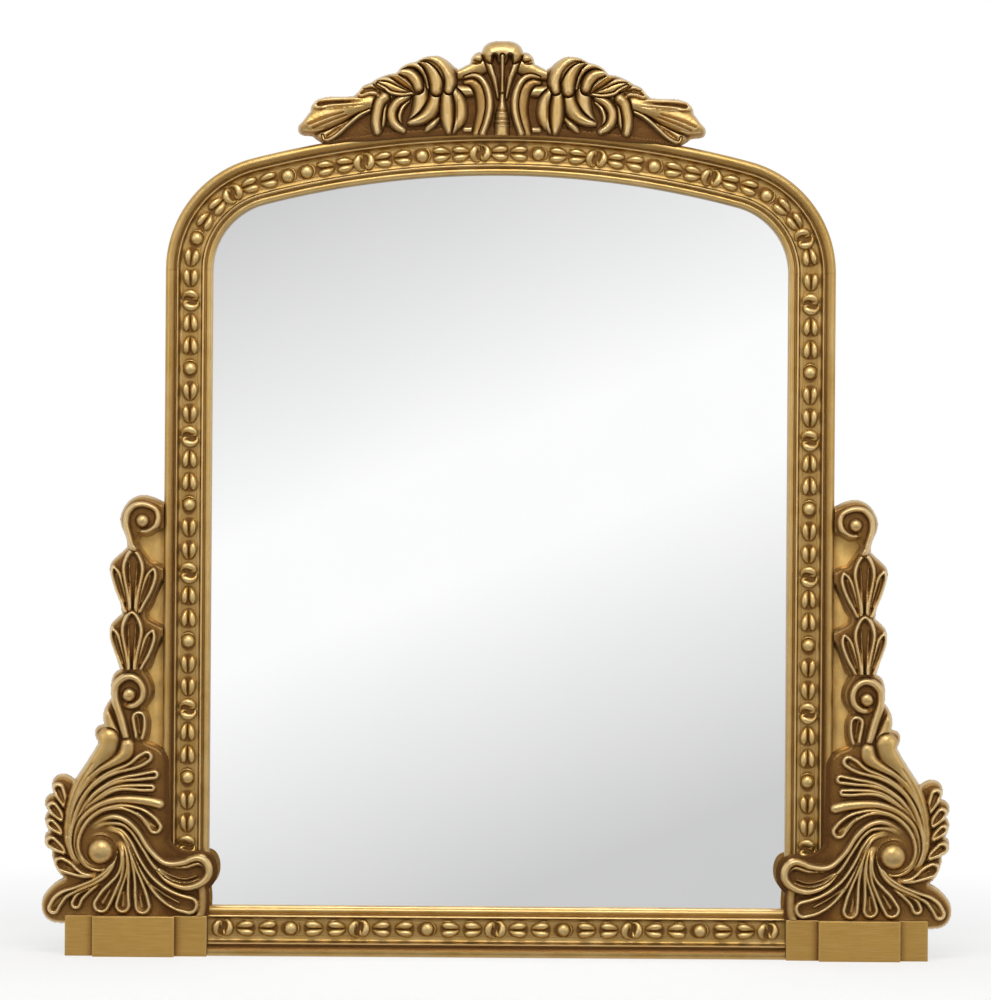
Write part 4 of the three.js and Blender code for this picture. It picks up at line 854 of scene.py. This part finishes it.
def crest_plume():
    """The middle of the crest: a domed head on a ringed stalk between two C-scrolls."""
    right = [
        [(0, 114), (10, 113.5), (18, 111), (24, 106), (27.5, 99)],
        [(27.5, 99), (34, 98), (40, 92), (42, 84)],
        [(42, 84), (48, 81), (54, 78), (SEAM - GAP, 76)],
        [(SEAM - GAP, 76), (SEAM - GAP, -11)],
        [(SEAM - GAP, -11), (0, -10.5)],
    ]
    left = [[(-x, y) for x, y in reversed(stroke)] for stroke in reversed(right)]
    plume = Carving([stroke[1:] for stroke in [*right, *left]], CREST, pitch=0.62, **CREST_CUT)
    plume.full(*both([(60, 47, 9), (47, 47, 8.5), (38, 47, 7)]), rise=13)
    plume.full(*both([(x, y, half + SWELL) for x, y, half in SEAM_LEAF]), rise=15)
    plume.full(*both([(48, -3, 4.5), (38, -3, 4.5)]), rise=12)
    # shoulders with a small dark knob over them
    plume.full(*both([(62, 68, 7), (48, 72, 10), (34, 78, 13), (20, 84, 12)]), rise=10)
    plume.full(*both([(38, 90, 3.4), (30, 90, 6)]), rise=13)
    plume.raised(*both([(29, 83, 1.4), (34, 82.5, 2), (39, 83, 1.4)]), rise=-5)
    # each C-scroll is a broad brown band behind a bold rolled rim
    plume.full(*both([(48, 58, 4), (39, 58, 7), (30, 50, 9.5), (25, 36, 10.5), (24, 20, 10.5), (28, 4, 9.5),
                      (32, -8, 8)]), rise=8, wax=0.3)
    plume.full(*both([
        (48, 65, 2.6), (37, 67, 3.8), (27, 62.5, 4.6), (20, 51, 5.2), (16.5, 37, 5.6), (16.5, 22, 5.8),
        (20, 6, 5.6), (25, -8, 5.4),
    ]), rise=17)
    # the domed head, with a deep drop-shaped eye on each side of the middle rib
    plume.full(*both([(16, 90, 9.5), (14.5, 78, 6.6), (11, 66, 4.8), (8, 52, 3.4), (5.5, 38, 2)]), rise=14)
    plume.full([(-12.5, 96, 15), (0, 98, 15.5), (12.5, 96, 15)], rise=15.5)
    plume.raised(*both([(9.8, 91, 5.6), (9.8, 85, 5.6), (8.8, 76, 4), (7.6, 68, 2.4)]), rise=-15)
    plume.full([(0, 92, 3.6), (0, 78, 3), (0, 60, 2.4), (0, 36, 3)], rise=26)
    # the ringed stalk
    plume.full([(0, 42, 3), (0, 30, 5), (0, 20, 8), (0, 8, 9.8), (0, -9, 11)], rise=16)
    for height in (21, 10.5, 4.5):
        plume.raised([(-9, height, 1.6), (9, height, 1.6)], rise=-2.6)
        plume.raised([(-9, height - 3, 1.6), (9, height - 3, 1.6)], rise=1.2)
    return plume.piece(over=over_arch, seam=arch_seam)


def crest_leaves():
    """One wing of the crest: leaves that curl over one another, out to a long rolled tip."""
    leaves = Carving([
        [(64, 81), (72, 88), (82, 93.5), (93, 93.5), (103, 91), (112, 86.5)],
        [(122, 84), (131, 79), (138, 71)],
        [(150, 69), (162, 64), (172, 58)],
        [(181, 54), (188, 46)],
        [(194, 41), (210, 40), (226, 39.5), (240, 36), (248, 28), (250, 20)],
        [(258, 9), (265, 1), (265, -6), (260, -10.5), (247, -12)],
        [(239, -18), (228, -23), (214, -22), (200, -20)],
        [(175, -19.5), (150, -17.5), (125, -15), (100, -13.2)],
        [(80, -12), (SEAM, -11)],
        [(SEAM, 77)],
    ], CREST, pitch=0.68, swell=SWELL, **CREST_CUT)
    # the long tail: one fan, with a hollow along its top and a rolled finger below
    leaves.full([(230, -12, 8), (220, -5, 9), (210, 3, 8.5), (200, 11, 8), (188, 19, 8),
                 (175, 26, 7)], rise=10)
    leaves.full([(251, 4, 12), (238, 9, 16), (220, 16, 15), (202, 23, 13), (186, 28, 12),
                 (172, 32, 10)], rise=11.5)
    leaves.hollow([(238, 28.5, 6.5), (222, 30.5, 6), (205, 31.5, 5.5), (190, 32.5, 5),
                   (174, 33, 4)], top=48.5, depth=6, foot=CREST_GROUND + 6, melt=0.5)
    leaves.raised([(226, -13, 3), (216, -6, 3.6), (206, 2, 3.6), (196, 10, 3), (186, 17, 2)], rise=-5)
    leaves.full([(233, -12, 2), (230, -18, 2.4), (222, -16, 2.8), (213, -10, 3), (203, -1, 3.2),
                 (193, 8, 3.2), (183, 15.5, 3), (172, 21, 2.6)], rise=19)
    leaves.raised([(252, 2, 1.6), (232, 10.5, 2), (206, 18, 1.4)],
                  [(246, -3, 1.6), (226, 5.5, 2), (202, 14.5, 1.4)], rise=-3.5)
    leaves.raised([(250, -1, 1.4), (229, 8, 1.4), (206, 16, 1)],
                  [(240, 24, 1.6), (222, 23, 2), (196, 26, 1.4)],
                  [(258, -6, 1.4), (244, -7, 1.8), (232, -4, 1.2)], rise=1.6)
    # the wing, from what lies below to what lies on top
    leaves.full([(121, 33, 2), (129, 25, 3.2), (133, 14, 3.4), (132, 5, 3), (128, -3, 2.2)], rise=19)
    leaves.full([(118, 44, 3), (132, 40, 4), (144, 31, 4.2), (149, 18, 4), (147, 4, 3.4)], rise=15)
    leaves.full([(124, 39, 3.4), (136, 31.5, 5), (143, 20, 5.6), (142, 8, 5.4), (136, 0, 4.4),
                 (128, -5, 2.6)], rise=14.5)
    leaves.full([(144, 40, 3.6), (151, 31, 4), (153, 18, 4), (154, 6, 3.8), (158, -5, 2.8)], rise=15)
    leaves.full([(153, 38, 6.5), (159, 31, 6.5), (162, 19, 6), (163.5, 6, 5.8), (162, -6, 4.4)], rise=14)
    leaves.full([(105, 51, 6.5), (105.5, 40, 8.4), (107, 28, 8.4), (111, 17, 6.4), (118, 7, 3)], rise=14.5)
    leaves.full([(82, 11, 3), (89, 4, 5), (96, -2, 4.4), (100, -6, 2)], rise=14)
    leaves.full([(86, 46, 5), (87.5, 34, 7), (91.5, 23, 8.8), (99, 14, 7.8), (110, 8, 4.8),
                 (120, 5, 2)], rise=15.5)
    leaves.full(SEAM_LEAF, rise=15)
    leaves.full([(72, 41, 6.5), (71.5, 28, 8.4), (71, 15, 8.4), (70, 3, 6.6), (69, -6, 3)], rise=15)
    leaves.hollow([(183, 43, 5), (174, 47.5, 6.5), (164, 47.5, 6.5), (156, 41, 5)], top=47.5, depth=6,
                  foot=CREST_GROUND + 3)
    leaves.full([(179, 50, 2.4), (170, 52.5, 3), (162, 50, 2.6)], rise=19)
    leaves.full([(161, 58, 6), (150, 54, 8), (138, 50, 7.5), (124, 46.5, 5), (114, 45, 3)], rise=10)
    leaves.full([(162, 55, 2.4), (152, 49.5, 3), (145, 44, 3.4), (130, 41.5, 3.4), (113, 44, 2.6)], rise=19)
    leaves.full([(162, 61, 2.6), (150, 61, 3.2), (139, 57, 3.4), (127, 51, 3), (114, 46, 2.4)], rise=19.5)
    leaves.full([(138, 67, 6), (128, 63, 8.5), (118, 57, 8), (109, 49, 6)], rise=9)
    leaves.raised([(136, 66, 1.5), (127, 59.5, 1.8), (117, 51.5, 1.4)], rise=2.5)
    leaves.full([(131, 71.5, 4), (120, 69, 6.4), (112, 61, 7), (108.5, 51, 5.6)], rise=13.5)
    leaves.full([(132, 76, 3), (120, 80.5, 4.2), (109, 78, 4.8), (101, 70, 4.8), (97, 60, 4.4),
                 (96, 51, 3.4)], rise=17)
    leaves.full([(105, 85, 4), (96, 80, 7), (88.5, 69, 9), (85.5, 58, 9), (85.5, 47, 7)], rise=15.5)
    leaves.full([(106, 89, 3), (94, 89, 5.5), (82, 83, 7.4), (73, 72, 8), (68, 60, 7.6), (69.5, 48, 5.4)],
                rise=15.5)
    leaves.raised([(102, 86, 1), (92, 84, 1.6), (82, 76, 2), (76, 64, 2), (76, 50, 1.6)], rise=-4)
    return leaves.piece(over=over_arch, seam=arch_seam)


for build, name in ((husk_drop, "husk_drop"), (acanthus_scroll, "acanthus_scroll"),
                    (crest_leaves, "crest_leaves")):
    dress_pair(build(), f"carved_{name}", CARVING_PAINT, name)
dress(crest_plume(), "carved_crest_plume", CARVING_PAINT, "crest_plume")


# ---------------------------------------------------------------- moulding
# Section as [distance from the sight edge, level, darkening by wax and painted shade, paling by rubbed wear
# and painted highlight], from the rebate over the front to the back.
REBATE = 8
REBATE_DEPTH = 7.6
TORUS = 6.1  # radius of the round at the outer edge
# the round is darker on its sides than on its crown, and darkest on its inner side: painted shade
torus = [
    (MOULDING_WIDTH - TORUS + TORUS * math.cos(angle), MOULDING_DEPTH - TORUS + TORUS * math.sin(angle),
     0.15 + 0.3 * (1 - math.sin(angle)) + 1.1 * min(max((angle - 1.5) / 0.7, 0), 1), 0.1)
    for angle in np.linspace(math.pi, 0, 21)
]
SECTION = [
    (0, REBATE_DEPTH, 0, 0), (0, 17.5, 0, 0), (0.5, 20, 0, 0.1), (1.5, 22.3, 0, 0.3), (3, 24, 0, 0.4),
    (4.6, 24.6, 0, 0.3), (6.2, 24.3, 0, 0.1), (7.4, 23.6, 0.3, 0), (8.2, 22.8, 0.8, 0), (8.9, 23, 0.7, 0),
    (9.4, 24.4, 0.3, 0), (9.8, 26.4, 0, 0.1), (10.2, 28, 0, 0.4), (10.8, 29, 0, 0.8), (11.5, 29.3, 0, 0.9),
    (12.2, 29, 0, 0.7), (12.8, 28, 0, 0.3), (13.3, 26.4, 0.3, 0), (13.8, 25.2, 0.5, 0),
    (14.6, 24.4, 0.4, 0), (16, 24.1, 0.2, 0), (18, 24, 0.15, 0), (22, 24, 0.1, 0), (28, 24, 0.1, 0),
    (34, 24, 0.1, 0), (38, 24, 0.15, 0), (40.4, 24.3, 0.25, 0), (41.8, 25.4, 0.45, 0), (42.6, 27.2, 0.5, 0),
    (43.1, 29.2, 0.2, 0.1), (43.6, 30.6, 0, 0.6), (44.3, 31.3, 0, 1), (45.1, 31.4, 0, 1),
    (45.7, 31, 0, 0.6), (46.2, 30.2, 0.25, 0.1), (46.8, 29.7, 1.2, 0), (47.3, 29.8, 1.3, 0),
    (47.7, 30.6, 1.3, 0), *torus,
    (MOULDING_WIDTH, 0, 0, 0), (REBATE, 0, 0, 0), (REBATE, REBATE_DEPTH, 0, 0),
]


def swept(place, offset_of, *sweeps):
    """The section swept by operators and closed at its ends, with its darkening, from wax and painted
    shade, and its paling, from rubbed wear and painted highlight.

    place(offset, level) is where the sweep starts, and offset_of(places) finds how far out from the sight
    edge a vertex is.
    """
    ends = [place(offset, level) for offset, level, *_ in SECTION]
    ring = [(i, (i + 1) % len(ends)) for i in range(len(ends))]
    obj = from_points("section", ends, [], ring)
    edit(obj, (bpy.ops.mesh.select_all, {"action": "SELECT"}), *sweeps)
    edit(
        obj,
        (bpy.ops.mesh.select_all, {"action": "DESELECT"}),
        (bpy.ops.mesh.select_non_manifold, {"extend": False}),
        (bpy.ops.mesh.edge_face_add, {}),
    )
    outward(obj)
    smooth(obj, 32)

    places = coordinates(obj)
    offsets, levels = offset_of(places), BACK - places[:, 1]
    table = np.array(SECTION)
    away = np.hypot(offsets[:, None] - table[:, 0], levels[:, None] - table[:, 1])
    patina_and_shade, rub_and_sheen = table[away.argmin(-1), 2:].T
    darker_low_down = np.interp(places[:, 2], (450, 900), (0.6, 0.27))  # darker towards the bottom
    stain(obj, darker_low_down * patina_and_shade, 0.6 * rub_and_sheen)
    return obj


def drawn_out(x, z):
    return bpy.ops.mesh.extrude_region_move, {"TRANSFORM_OT_translate": {"value": (x * MM, 0, z * MM)}}


def turned_about(x, z, angle, steps):
    """Part of a turn about a centre of the arch, clockwise as seen from the front."""
    return bpy.ops.mesh.spin, {"steps": steps, "angle": -angle, "center": front(x, z, 0), "axis": (0, 1, 0)}


def arch_offset(at):
    """Distance out from the sight edge of the arch."""
    on_crown = np.abs(at[:, 0]) < (at[:, 2] - CROWN_Z) * math.tan(CROWN_HALF_ANGLE)
    return np.where(
        on_crown,
        np.hypot(at[:, 0], at[:, 2] - CROWN_Z) - CROWN_RADIUS,
        np.hypot(np.abs(at[:, 0]) - CORNER_X, at[:, 2] - SPRING) - CORNER_RADIUS)


RAIL_END = RAIL_HIGH.x
RAIL_STRETCH = RAIL_HEIGHT / MOULDING_WIDTH  # the bottom rail's section is a little taller
CORNER_TURN = math.pi / 2 - CROWN_HALF_ANGLE
stile = swept(lambda offset, level: front(SIGHT + offset, PLINTH_TOP, level), lambda at: at[:, 0] - SIGHT,
              drawn_out(0, STILE_HIGH.z - PLINTH_TOP))
dress_pair(stile, "moulded_stile", MOULDING_PAINT, "frame_stile")
bottom_rail = swept(lambda offset, level: front(-RAIL_END, RAIL_HEIGHT - offset * RAIL_STRETCH, level),
                    lambda at: (RAIL_HEIGHT - at[:, 2]) / RAIL_STRETCH, drawn_out(2 * RAIL_END, 0))
arch = swept(lambda offset, level: front(-SIGHT - offset, SPRING, level), arch_offset,
             turned_about(-CORNER_X, SPRING, CORNER_TURN, 30),
             turned_about(0, CROWN_Z, 2 * CROWN_HALF_ANGLE, 60),
             turned_about(CORNER_X, SPRING, CORNER_TURN, 30))
dress(bottom_rail, "moulded_bottom_rail", MOULDING_PAINT, "frame_bottom_rail")
dress(arch, "moulded_arch_rail", MOULDING_PAINT, "frame_arch_rail")


# ---------------------------------------------------------------- beads
CHANNEL = 28  # offset of the middle of the bead channel from the sight edge
RIBBON_WIDTH, RIBBON_FOOT, RIBBON_TOP = 19, 24.1, 25.4
PEARL = 9  # radius
BEAD_HEIGHT = 7.6
BEAD_PITCH, ARCH_PITCH = 29.6, 25.3  # they sit closer on the arch
BEAD_SHADE_LENGTH, BEAD_SHADE_WIDTH = 12, 8.8  # from the middle of a bead to where the painted shade round it thins out
STRIP_FOOT = PLINTH_TOP + 60  # the acanthus covers the channel below this
BEAD_ORDER = ("scroll", "bud", "bud", "pearl", "bud_back", "bud_back")


def strand(points, height):
    """A half-round strand lying along a line of (along, across, radius), tapering with it.

    It is built from rows of points, because its radius and its ends follow the line.
    """
    rows = curve(points, 0.9)
    ahead = np.gradient(rows[:, :2], axis=0)
    ahead /= np.linalg.norm(ahead, axis=1)[:, None]
    angles = np.linspace(0, math.pi, 10)
    across = rows[:, 2:] * np.cos(angles)
    rise = rows[:, 2:] * np.sin(angles) * height
    rise[:, [0, -1]] = -0.8  # its sides are sunk in the ribbon
    return from_rows("strand", np.stack([
        rows[:, :1] - ahead[:, 1:] * across, -rise, rows[:, 1:2] + ahead[:, :1] * across], -1))


def mirrored(points):
    return [(along, -across, radius) for along, across, radius in points]


def turned(points):
    return [(-along, -across, radius) for along, across, radius in points]


def finished_bead(*parts):
    """Joins the parts of a bead, paints shade low down on it where it meets the ribbon, and pales its top,
    as rubbed wear and painted highlight.
    """
    bead = smooth(join(parts), 60)
    height = -coordinates(bead)[:, 1]
    stain(bead, np.clip(0.5 - height / 4, 0, 1), np.clip((height - 5) / 3.5, 0, 0.55))
    return bead


def pearl():
    """A round bead with a small collar at one side."""
    dome = start(bpy.ops.mesh.primitive_uv_sphere_add, segments=24, ring_count=14, radius=1)
    sized(dome, (PEARL * MM, BEAD_HEIGHT * MM, PEARL * MM))
    select_faces(dome, lambda centre, normal: centre.y > 0)
    edit(dome, (bpy.ops.mesh.delete, {"type": "FACE"}), mode="FACE")
    collar = [(3, 9.6, 0.4), (6.9, 7.5, 1), (9.4, 3.9, 1.3), (10.3, 0, 1.4)]
    return finished_bead(dome, strand([*collar, *mirrored(collar[-2::-1])], 1.5))


def bud():
    """Two almond halves side by side that meet in a point, in two thin leaves."""
    half = [(-11.8, 1, 0.8), (-9, 2.8, 2.8), (-4.4, 4.6, 4.6), (1, 5.3, 5.2), (6, 5.3, 4.8),
            (9.6, 4.8, 3.2), (11.3, 4, 0.8)]
    leaf = [(-7, 6.4, 0.5), (-3, 9, 1.1), (3, 10.2, 1.2), (8, 9.6, 1), (11, 8, 0.5)]
    return finished_bead(*[strand(line, height) for points, height in ((half, 1.42), (leaf, 1.3))
                           for line in (points, mirrored(points))])


def scroll_bead():
    """Two fat lobes wound close into one another."""
    lobe = [(0.6, 10, 1), (5.4, 9.4, 2.8), (9, 5.2, 4.6), (9.4, -0.6, 5.5), (7.2, -5.2, 5.2),
            (3.8, -7.4, 3.8), (1.6, -4.8, 2.4), (2, -1.4, 0.8)]
    return finished_bead(strand(lobe, 1.4), strand(turned(lobe), 1.4))


BEADS = {"scroll": scroll_bead(), "bud": bud(), "pearl": pearl()}
BEADS["bud_back"] = moved_copy(BEADS["bud"], Matrix.Rotation(math.pi, 4, "Y"))


def ribbon(path, length, runs):
    """The raised ribbon that the beads sit on, with shade painted round each of them."""
    along = np.linspace(0, length, math.ceil(length / 1.4) + 1)
    half = RIBBON_WIDTH / 2
    across = np.array([half, half, half - 0.5, *np.linspace(8, -8, 11), 0.5 - half, -half, -half])
    levels = np.array([RIBBON_FOOT, RIBBON_TOP - 0.5, *[RIBBON_TOP] * 13, RIBBON_TOP - 0.5, RIBBON_FOOT])
    rows = []
    for run in along:
        x, y, heading = path(run)
        rows.append(np.stack([
            x - math.sin(heading) * across, BACK - levels, y + math.cos(heading) * across], -1))
    strip = from_rows("ribbon", np.array(rows))
    off = np.abs(along[:, None] - np.array(runs)).min(1)[:, None]
    bead_shade = 0.75 - np.maximum(np.hypot(off / BEAD_SHADE_LENGTH, across / BEAD_SHADE_WIDTH) - 1, 0) * 2
    # its edges are made pale: painted highlight, with rubbed wear
    edge = 0.7 * (np.abs(across) > half - 0.6)
    stain(strip, np.clip(np.maximum(bead_shade, 0.25), 0, 1).ravel(), (edge * np.ones_like(bead_shade)).ravel())
    return smooth(strip, 40)


def bead_strip(name, path, length, runs, order):
    """One strip: its ribbon with the beads along it."""
    beads = []
    for run, kind in zip(runs, order):
        x, y, heading = path(run)
        turn = Matrix.Translation(front(x, y, RIBBON_TOP - 0.1)) @ Matrix.Rotation(-heading, 4, "Y")
        beads.append(moved_copy(BEADS[kind], turn))
    strip = join([ribbon(path, length, runs), *beads])
    dress(strip, f"beads_{name}", BEAD_PAINT, f"bead_strip_{name}")


def kinds(count, first=0):
    return [BEAD_ORDER[(i + first) % len(BEAD_ORDER)] for i in range(count)]


# where the beads sit along each strip, from the middle of the first one
STILE_RUNS = np.arange(30, SPRING - STRIP_FOOT - PEARL, BEAD_PITCH)
for side, name in ((-1, "left"), (1, "right")):
    bead_strip(name, lambda run: (side * (SIGHT + CHANNEL), STRIP_FOOT + run, math.pi / 2),
               SPRING - STRIP_FOOT - GAP, STILE_RUNS, kinds(len(STILE_RUNS)))

RAIL_RUNS = np.arange(19.2, 2 * SIGHT - 12, BEAD_PITCH)
bead_strip("bottom", lambda run: (run - SIGHT + GAP, RAIL_HEIGHT - CHANNEL, 0.0), 2 * (SIGHT - GAP),
           RAIL_RUNS, kinds(len(RAIL_RUNS)))

ARCH_CORNER, ARCH_CROWN = CORNER_RADIUS + CHANNEL, CROWN_RADIUS + CHANNEL
CORNER_RUN = ARCH_CORNER * CORNER_TURN
CROWN_RUN = 2 * ARCH_CROWN * CROWN_HALF_ANGLE
ARCH_LENGTH = 2 * CORNER_RUN + CROWN_RUN


def arch_path(run):
    """Place and heading along the middle of the arch's channel, from the left springing."""
    if run < CORNER_RUN:
        x, y, radius, heading = -CORNER_X, SPRING, ARCH_CORNER, math.pi / 2 - run / ARCH_CORNER
    elif run < CORNER_RUN + CROWN_RUN:
        x, y, radius, heading = 0, CROWN_Z, ARCH_CROWN, CROWN_HALF_ANGLE - (run - CORNER_RUN) / ARCH_CROWN
    else:
        x, y, radius = CORNER_X, SPRING, ARCH_CORNER
        heading = -CROWN_HALF_ANGLE - (run - CORNER_RUN - CROWN_RUN) / ARCH_CORNER
    return x - radius * math.sin(heading), y + radius * math.cos(heading), heading


ARCH_RUNS = np.arange(16.5, ARCH_LENGTH - 10, ARCH_PITCH)
# the order starts at the second bud, and slips back by one after the eighth bead
bead_strip("arch", arch_path, ARCH_LENGTH, ARCH_RUNS, [*kinds(8, 2), *kinds(len(ARCH_RUNS) - 8, 9)])
for bead in BEADS.values():
    bpy.data.objects.remove(bead)


# ---------------------------------------------------------------- plinths
def shade_beside_block(x):
    """An even tone, with painted shade in the corners where the block stands off the base."""
    off = np.minimum(np.abs(x - BLOCK_LOW.x), np.abs(x - BLOCK_HIGH.x))
    return 0.16 + 0.45 * np.exp(-(off / 5) ** 2)


def slab(low, high, shade):
    """A sawn block with softened edges, divided so that shade(x) can darken part of its front."""
    block = start(bpy.ops.mesh.primitive_cube_add, size=1, location=(low + high) / 2 * MM)
    sized(block, (high - low) * MM)
    bevel(block, 0.9, 3)
    select_faces(block, lambda centre, normal: normal.y < -0.99 or abs(normal.x) > 0.99)
    edit(block, (bpy.ops.mesh.subdivide, {"number_cuts": 40}), mode="FACE")
    x, _, z = coordinates(block).T
    edge = np.minimum(np.minimum(x - low.x, high.x - x), np.minimum(z - low.z, high.z - z))
    # a pale line along each eased edge, rubbed wear with painted highlight, and a little darkening along it
    rim = 0.5 * np.exp(-np.maximum(edge, 0) / 1.2)
    stain(block, np.clip(shade(np.abs(x)) + 0.2 * rim, 0, 1), rim * (edge < 1.2))
    return smooth(block, 40)


for part, low, high, shade in (
        ("base", PLINTH_LOW, PLINTH_HIGH, shade_beside_block), ("block", BLOCK_LOW, BLOCK_HIGH, lambda x: 0.12)):
    dress_pair(slab(low, high, shade), f"sawn_{part}", PLINTH_PAINT, f"plinth_{part}")


# ---------------------------------------------------------------- fittings and flat parts
def refined(node, material, slot, eased=0.0, body="frame"):
    """The CAD part with its seams merged, its sharp edges eased and its round faces smooth."""
    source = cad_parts[node]
    part = moved_copy(source, source.matrix_world)
    outward(part)
    if eased:
        bevel(part, eased, 2, 50)
    smooth(part, 35)
    if slot == "gilt_board":
        stain(part, 0.05)
    dress(part, f"fitted_{node}", material, node, body)


for side in ("left", "right"):
    refined(f"hanger_strap_{side}", ZINC, "zinc_steel")
    refined(f"hanger_ring_{side}", ZINC, "zinc_steel", body=f"ring_{side}")
    for number in (1, 2):
        refined(f"hanger_screw_{side}_{number}", ZINC, "zinc_steel")
    for number in (1, 2, 3, 4):
        refined(f"retaining_clip_{side}_{number}", ZINC, "zinc_steel", 0.2)
    for plate in ("corner", "joint", "crest", "bracket"):
        refined(f"{plate}_plate_{side}", ZINC, "zinc_steel", 0.3)
    refined(f"wall_pad_{side}", WOOL_FELT, "felt_pad", 0.6)
    refined(f"bracket_board_{side}", BOARD_PAINT_LIGHTENED, "gilt_board", 0.8)
refined("crest_board", BOARD_PAINT_LIGHTENED, "gilt_board", 0.8)
refined("backing_board", FIBRE_BOARD, "hardboard", 0.3)
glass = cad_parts["mirror_glass"].data  # a flat sheet, sharp at its edges
glass.materials.clear()
glass.materials.append(MIRROR_SILVER)


# ---------------------------------------------------------------- studio (metres)
def facing(place, target, axis):
    """The turn that points an axis of a thing at this place to the target."""
    return (Vector(target) - Vector(place)).to_track_quat(axis, "Y").to_euler()


def studio_card(name, material, centre, size, target):
    """A flat panel of the studio, seen only in reflections."""
    card = start(bpy.ops.mesh.primitive_plane_add, size=1, location=centre)
    card.scale = (*size, 1)
    card.rotation_euler = facing(centre, target, "Z")
    card.name = name
    card.data.materials.append(material)


BAND_SLOPE, BAND_OFFSET = 2.45, 1.46  # the bright band lies where x is slope * z - offset
BAND_HALF, BAND_FADE = 0.57, 3.9  # x off that line where it starts and ends to fade


def reflected_only(name, darkest, brightest):
    """A panel that shows in gloss and is not there for the camera, for diffuse light or for shadows.

    It is brightest along a band from its lower left to its upper right, and falls off on both sides.
    """
    material, tree = new_material(name)
    place = add(tree, "NewGeometry", output="Position")
    x, z = (add(tree, "SeparateXYZ", {0: place}, axis) for axis in "XZ")
    off = add(tree, "Math", {0: z, 1: -BAND_SLOPE, 2: x}, operation="MULTIPLY_ADD")
    off = add(tree, "Math", {0: off, 1: BAND_OFFSET}, operation="ADD")
    off = add(tree, "Math", {0: off}, operation="ABSOLUTE")
    strength = add(tree, "MapRange", {0: off, 1: BAND_HALF, 2: BAND_FADE, 3: brightest, 4: darkest})
    glow = add(tree, "Emission", {"Strength": strength})
    clear = add(tree, "BsdfTransparent")
    glossy = add(tree, "LightPath", output="Is Glossy Ray")
    skin = add(tree, "MixShader", {0: glossy, 1: clear, 2: glow})
    add(tree, "OutputMaterial", {"Surface": skin})
    return material


MIDDLE = (0, 0, 0.6)  # of the mirror
SCREEN = reflected_only("photographers_screen", 0.62, 1.01)
GREY = reflected_only("dim_studio_wall", 0.4, 0.5)
studio_card("screen_in_front", SCREEN, (0, -12, 0.6), (8, 8), MIDDLE)
studio_card("wall_left", GREY, (-6.5, -6, 1), (5, 12), MIDDLE)
studio_card("wall_right", GREY, (6.5, -6, 1), (5, 12), MIDDLE)
studio_card("dark_floor_ahead", GREY, (0, -5, -2.2), (12, 7), (0, -5, 2))


def softbox(name, place, target, size, power):
    lamp = start(bpy.ops.object.light_add, type="AREA", location=place)
    lamp.name = name
    lamp.data.shape = "RECTANGLE"
    lamp.data.size, lamp.data.size_y = size
    lamp.data.energy = power
    lamp.rotation_euler = facing(place, target, "-Z")


softbox("key_softbox", (0, -2.1, 2.5), (0, 0, 0.7), (1.6, 0.9), 38)
softbox("fill_left", (-2.6, -2.4, 1.3), MIDDLE, (1.2, 1.8), 14)
softbox("fill_right", (2.6, -2.4, 1.3), MIDDLE, (1.2, 1.8), 14)

floor = start(bpy.ops.mesh.primitive_plane_add, size=14, location=(0, 0, 0))
floor.name = "studio_floor"
paper, tree = new_material("white_paper_sweep")
place = add(tree, "TexCoord", output="Object")
distance = add(tree, "VectorMath", {0: place}, "Value", operation="LENGTH")
matt = add(tree, "BsdfDiffuse", {"Color": linear("#F7F7F6")})
bright = add(tree, "Emission", {"Color": (1, 1, 1, 1), "Strength": 1.0})
# the paper fades into the white round it
fade = add(tree, "MapRange", {0: distance, 1: 0.5, 2: 1.6, 3: 0.6, 4: 1.0})
fade = add(tree, "Math", {0: fade, 1: add(tree, "LightPath", output="Is Camera Ray")}, operation="MULTIPLY")
seen = add(tree, "MixShader", {0: fade, 1: matt, 2: bright})
# in gloss the floor runs on into the white beyond it, so that the mirror shows no horizon
glossy = add(tree, "LightPath", output="Is Glossy Ray")
skin = add(tree, "MixShader", {0: glossy, 1: seen, 2: add(tree, "BsdfTransparent")})
add(tree, "OutputMaterial", {"Surface": skin})
floor.data.materials.append(paper)

world = bpy.data.worlds.new("studio_air")
bpy.context.scene.world = world
world.use_nodes = True
tree = world.node_tree
tree.nodes.clear()
camera_ray, glossy, transmitted = (
    add(tree, "LightPath", output=f"Is {kind} Ray") for kind in ("Camera", "Glossy", "Transmission"))
seen = add(tree, "Math", {0: camera_ray, 1: glossy}, operation="MAXIMUM")
seen = add(tree, "Math", {0: seen, 1: transmitted}, operation="MAXIMUM")
strength = add(tree, "MapRange", {0: seen, 1: 0, 2: 1, 3: 0.55, 4: 1.0})
sky = add(tree, "Background", {"Color": (1, 1, 1, 1), "Strength": strength})
add(tree, "OutputWorld", {"Surface": sky})

# ---------------------------------------------------------------- camera
IMAGE_WIDTH = 991  # pixels
MM_PER_PIXEL = 1.3  # at the front of the moulding
CAMERA_DISTANCE = 6.0
CAMERA_ROLL = -0.4  # degrees
FRAME_CENTRE = (-5.0, 595.7)  # what the middle of the photograph looks at, mm
camera = start(bpy.ops.object.camera_add,
               location=(FRAME_CENTRE[0] * MM, -CAMERA_DISTANCE, FRAME_CENTRE[1] * MM))
camera.rotation_euler = (math.pi / 2, math.radians(CAMERA_ROLL), 0)
camera.data.sensor_fit = "HORIZONTAL"
camera.data.sensor_width = 36
face_distance = CAMERA_DISTANCE / MM + STILE_LOW.y
camera.data.lens = camera.data.sensor_width * face_distance / (MM_PER_PIXEL * IMAGE_WIDTH)
camera.data.dof.use_dof = False
bpy.context.scene.camera = camera
bpy.context.scene.view_settings.view_transform = "Standard"
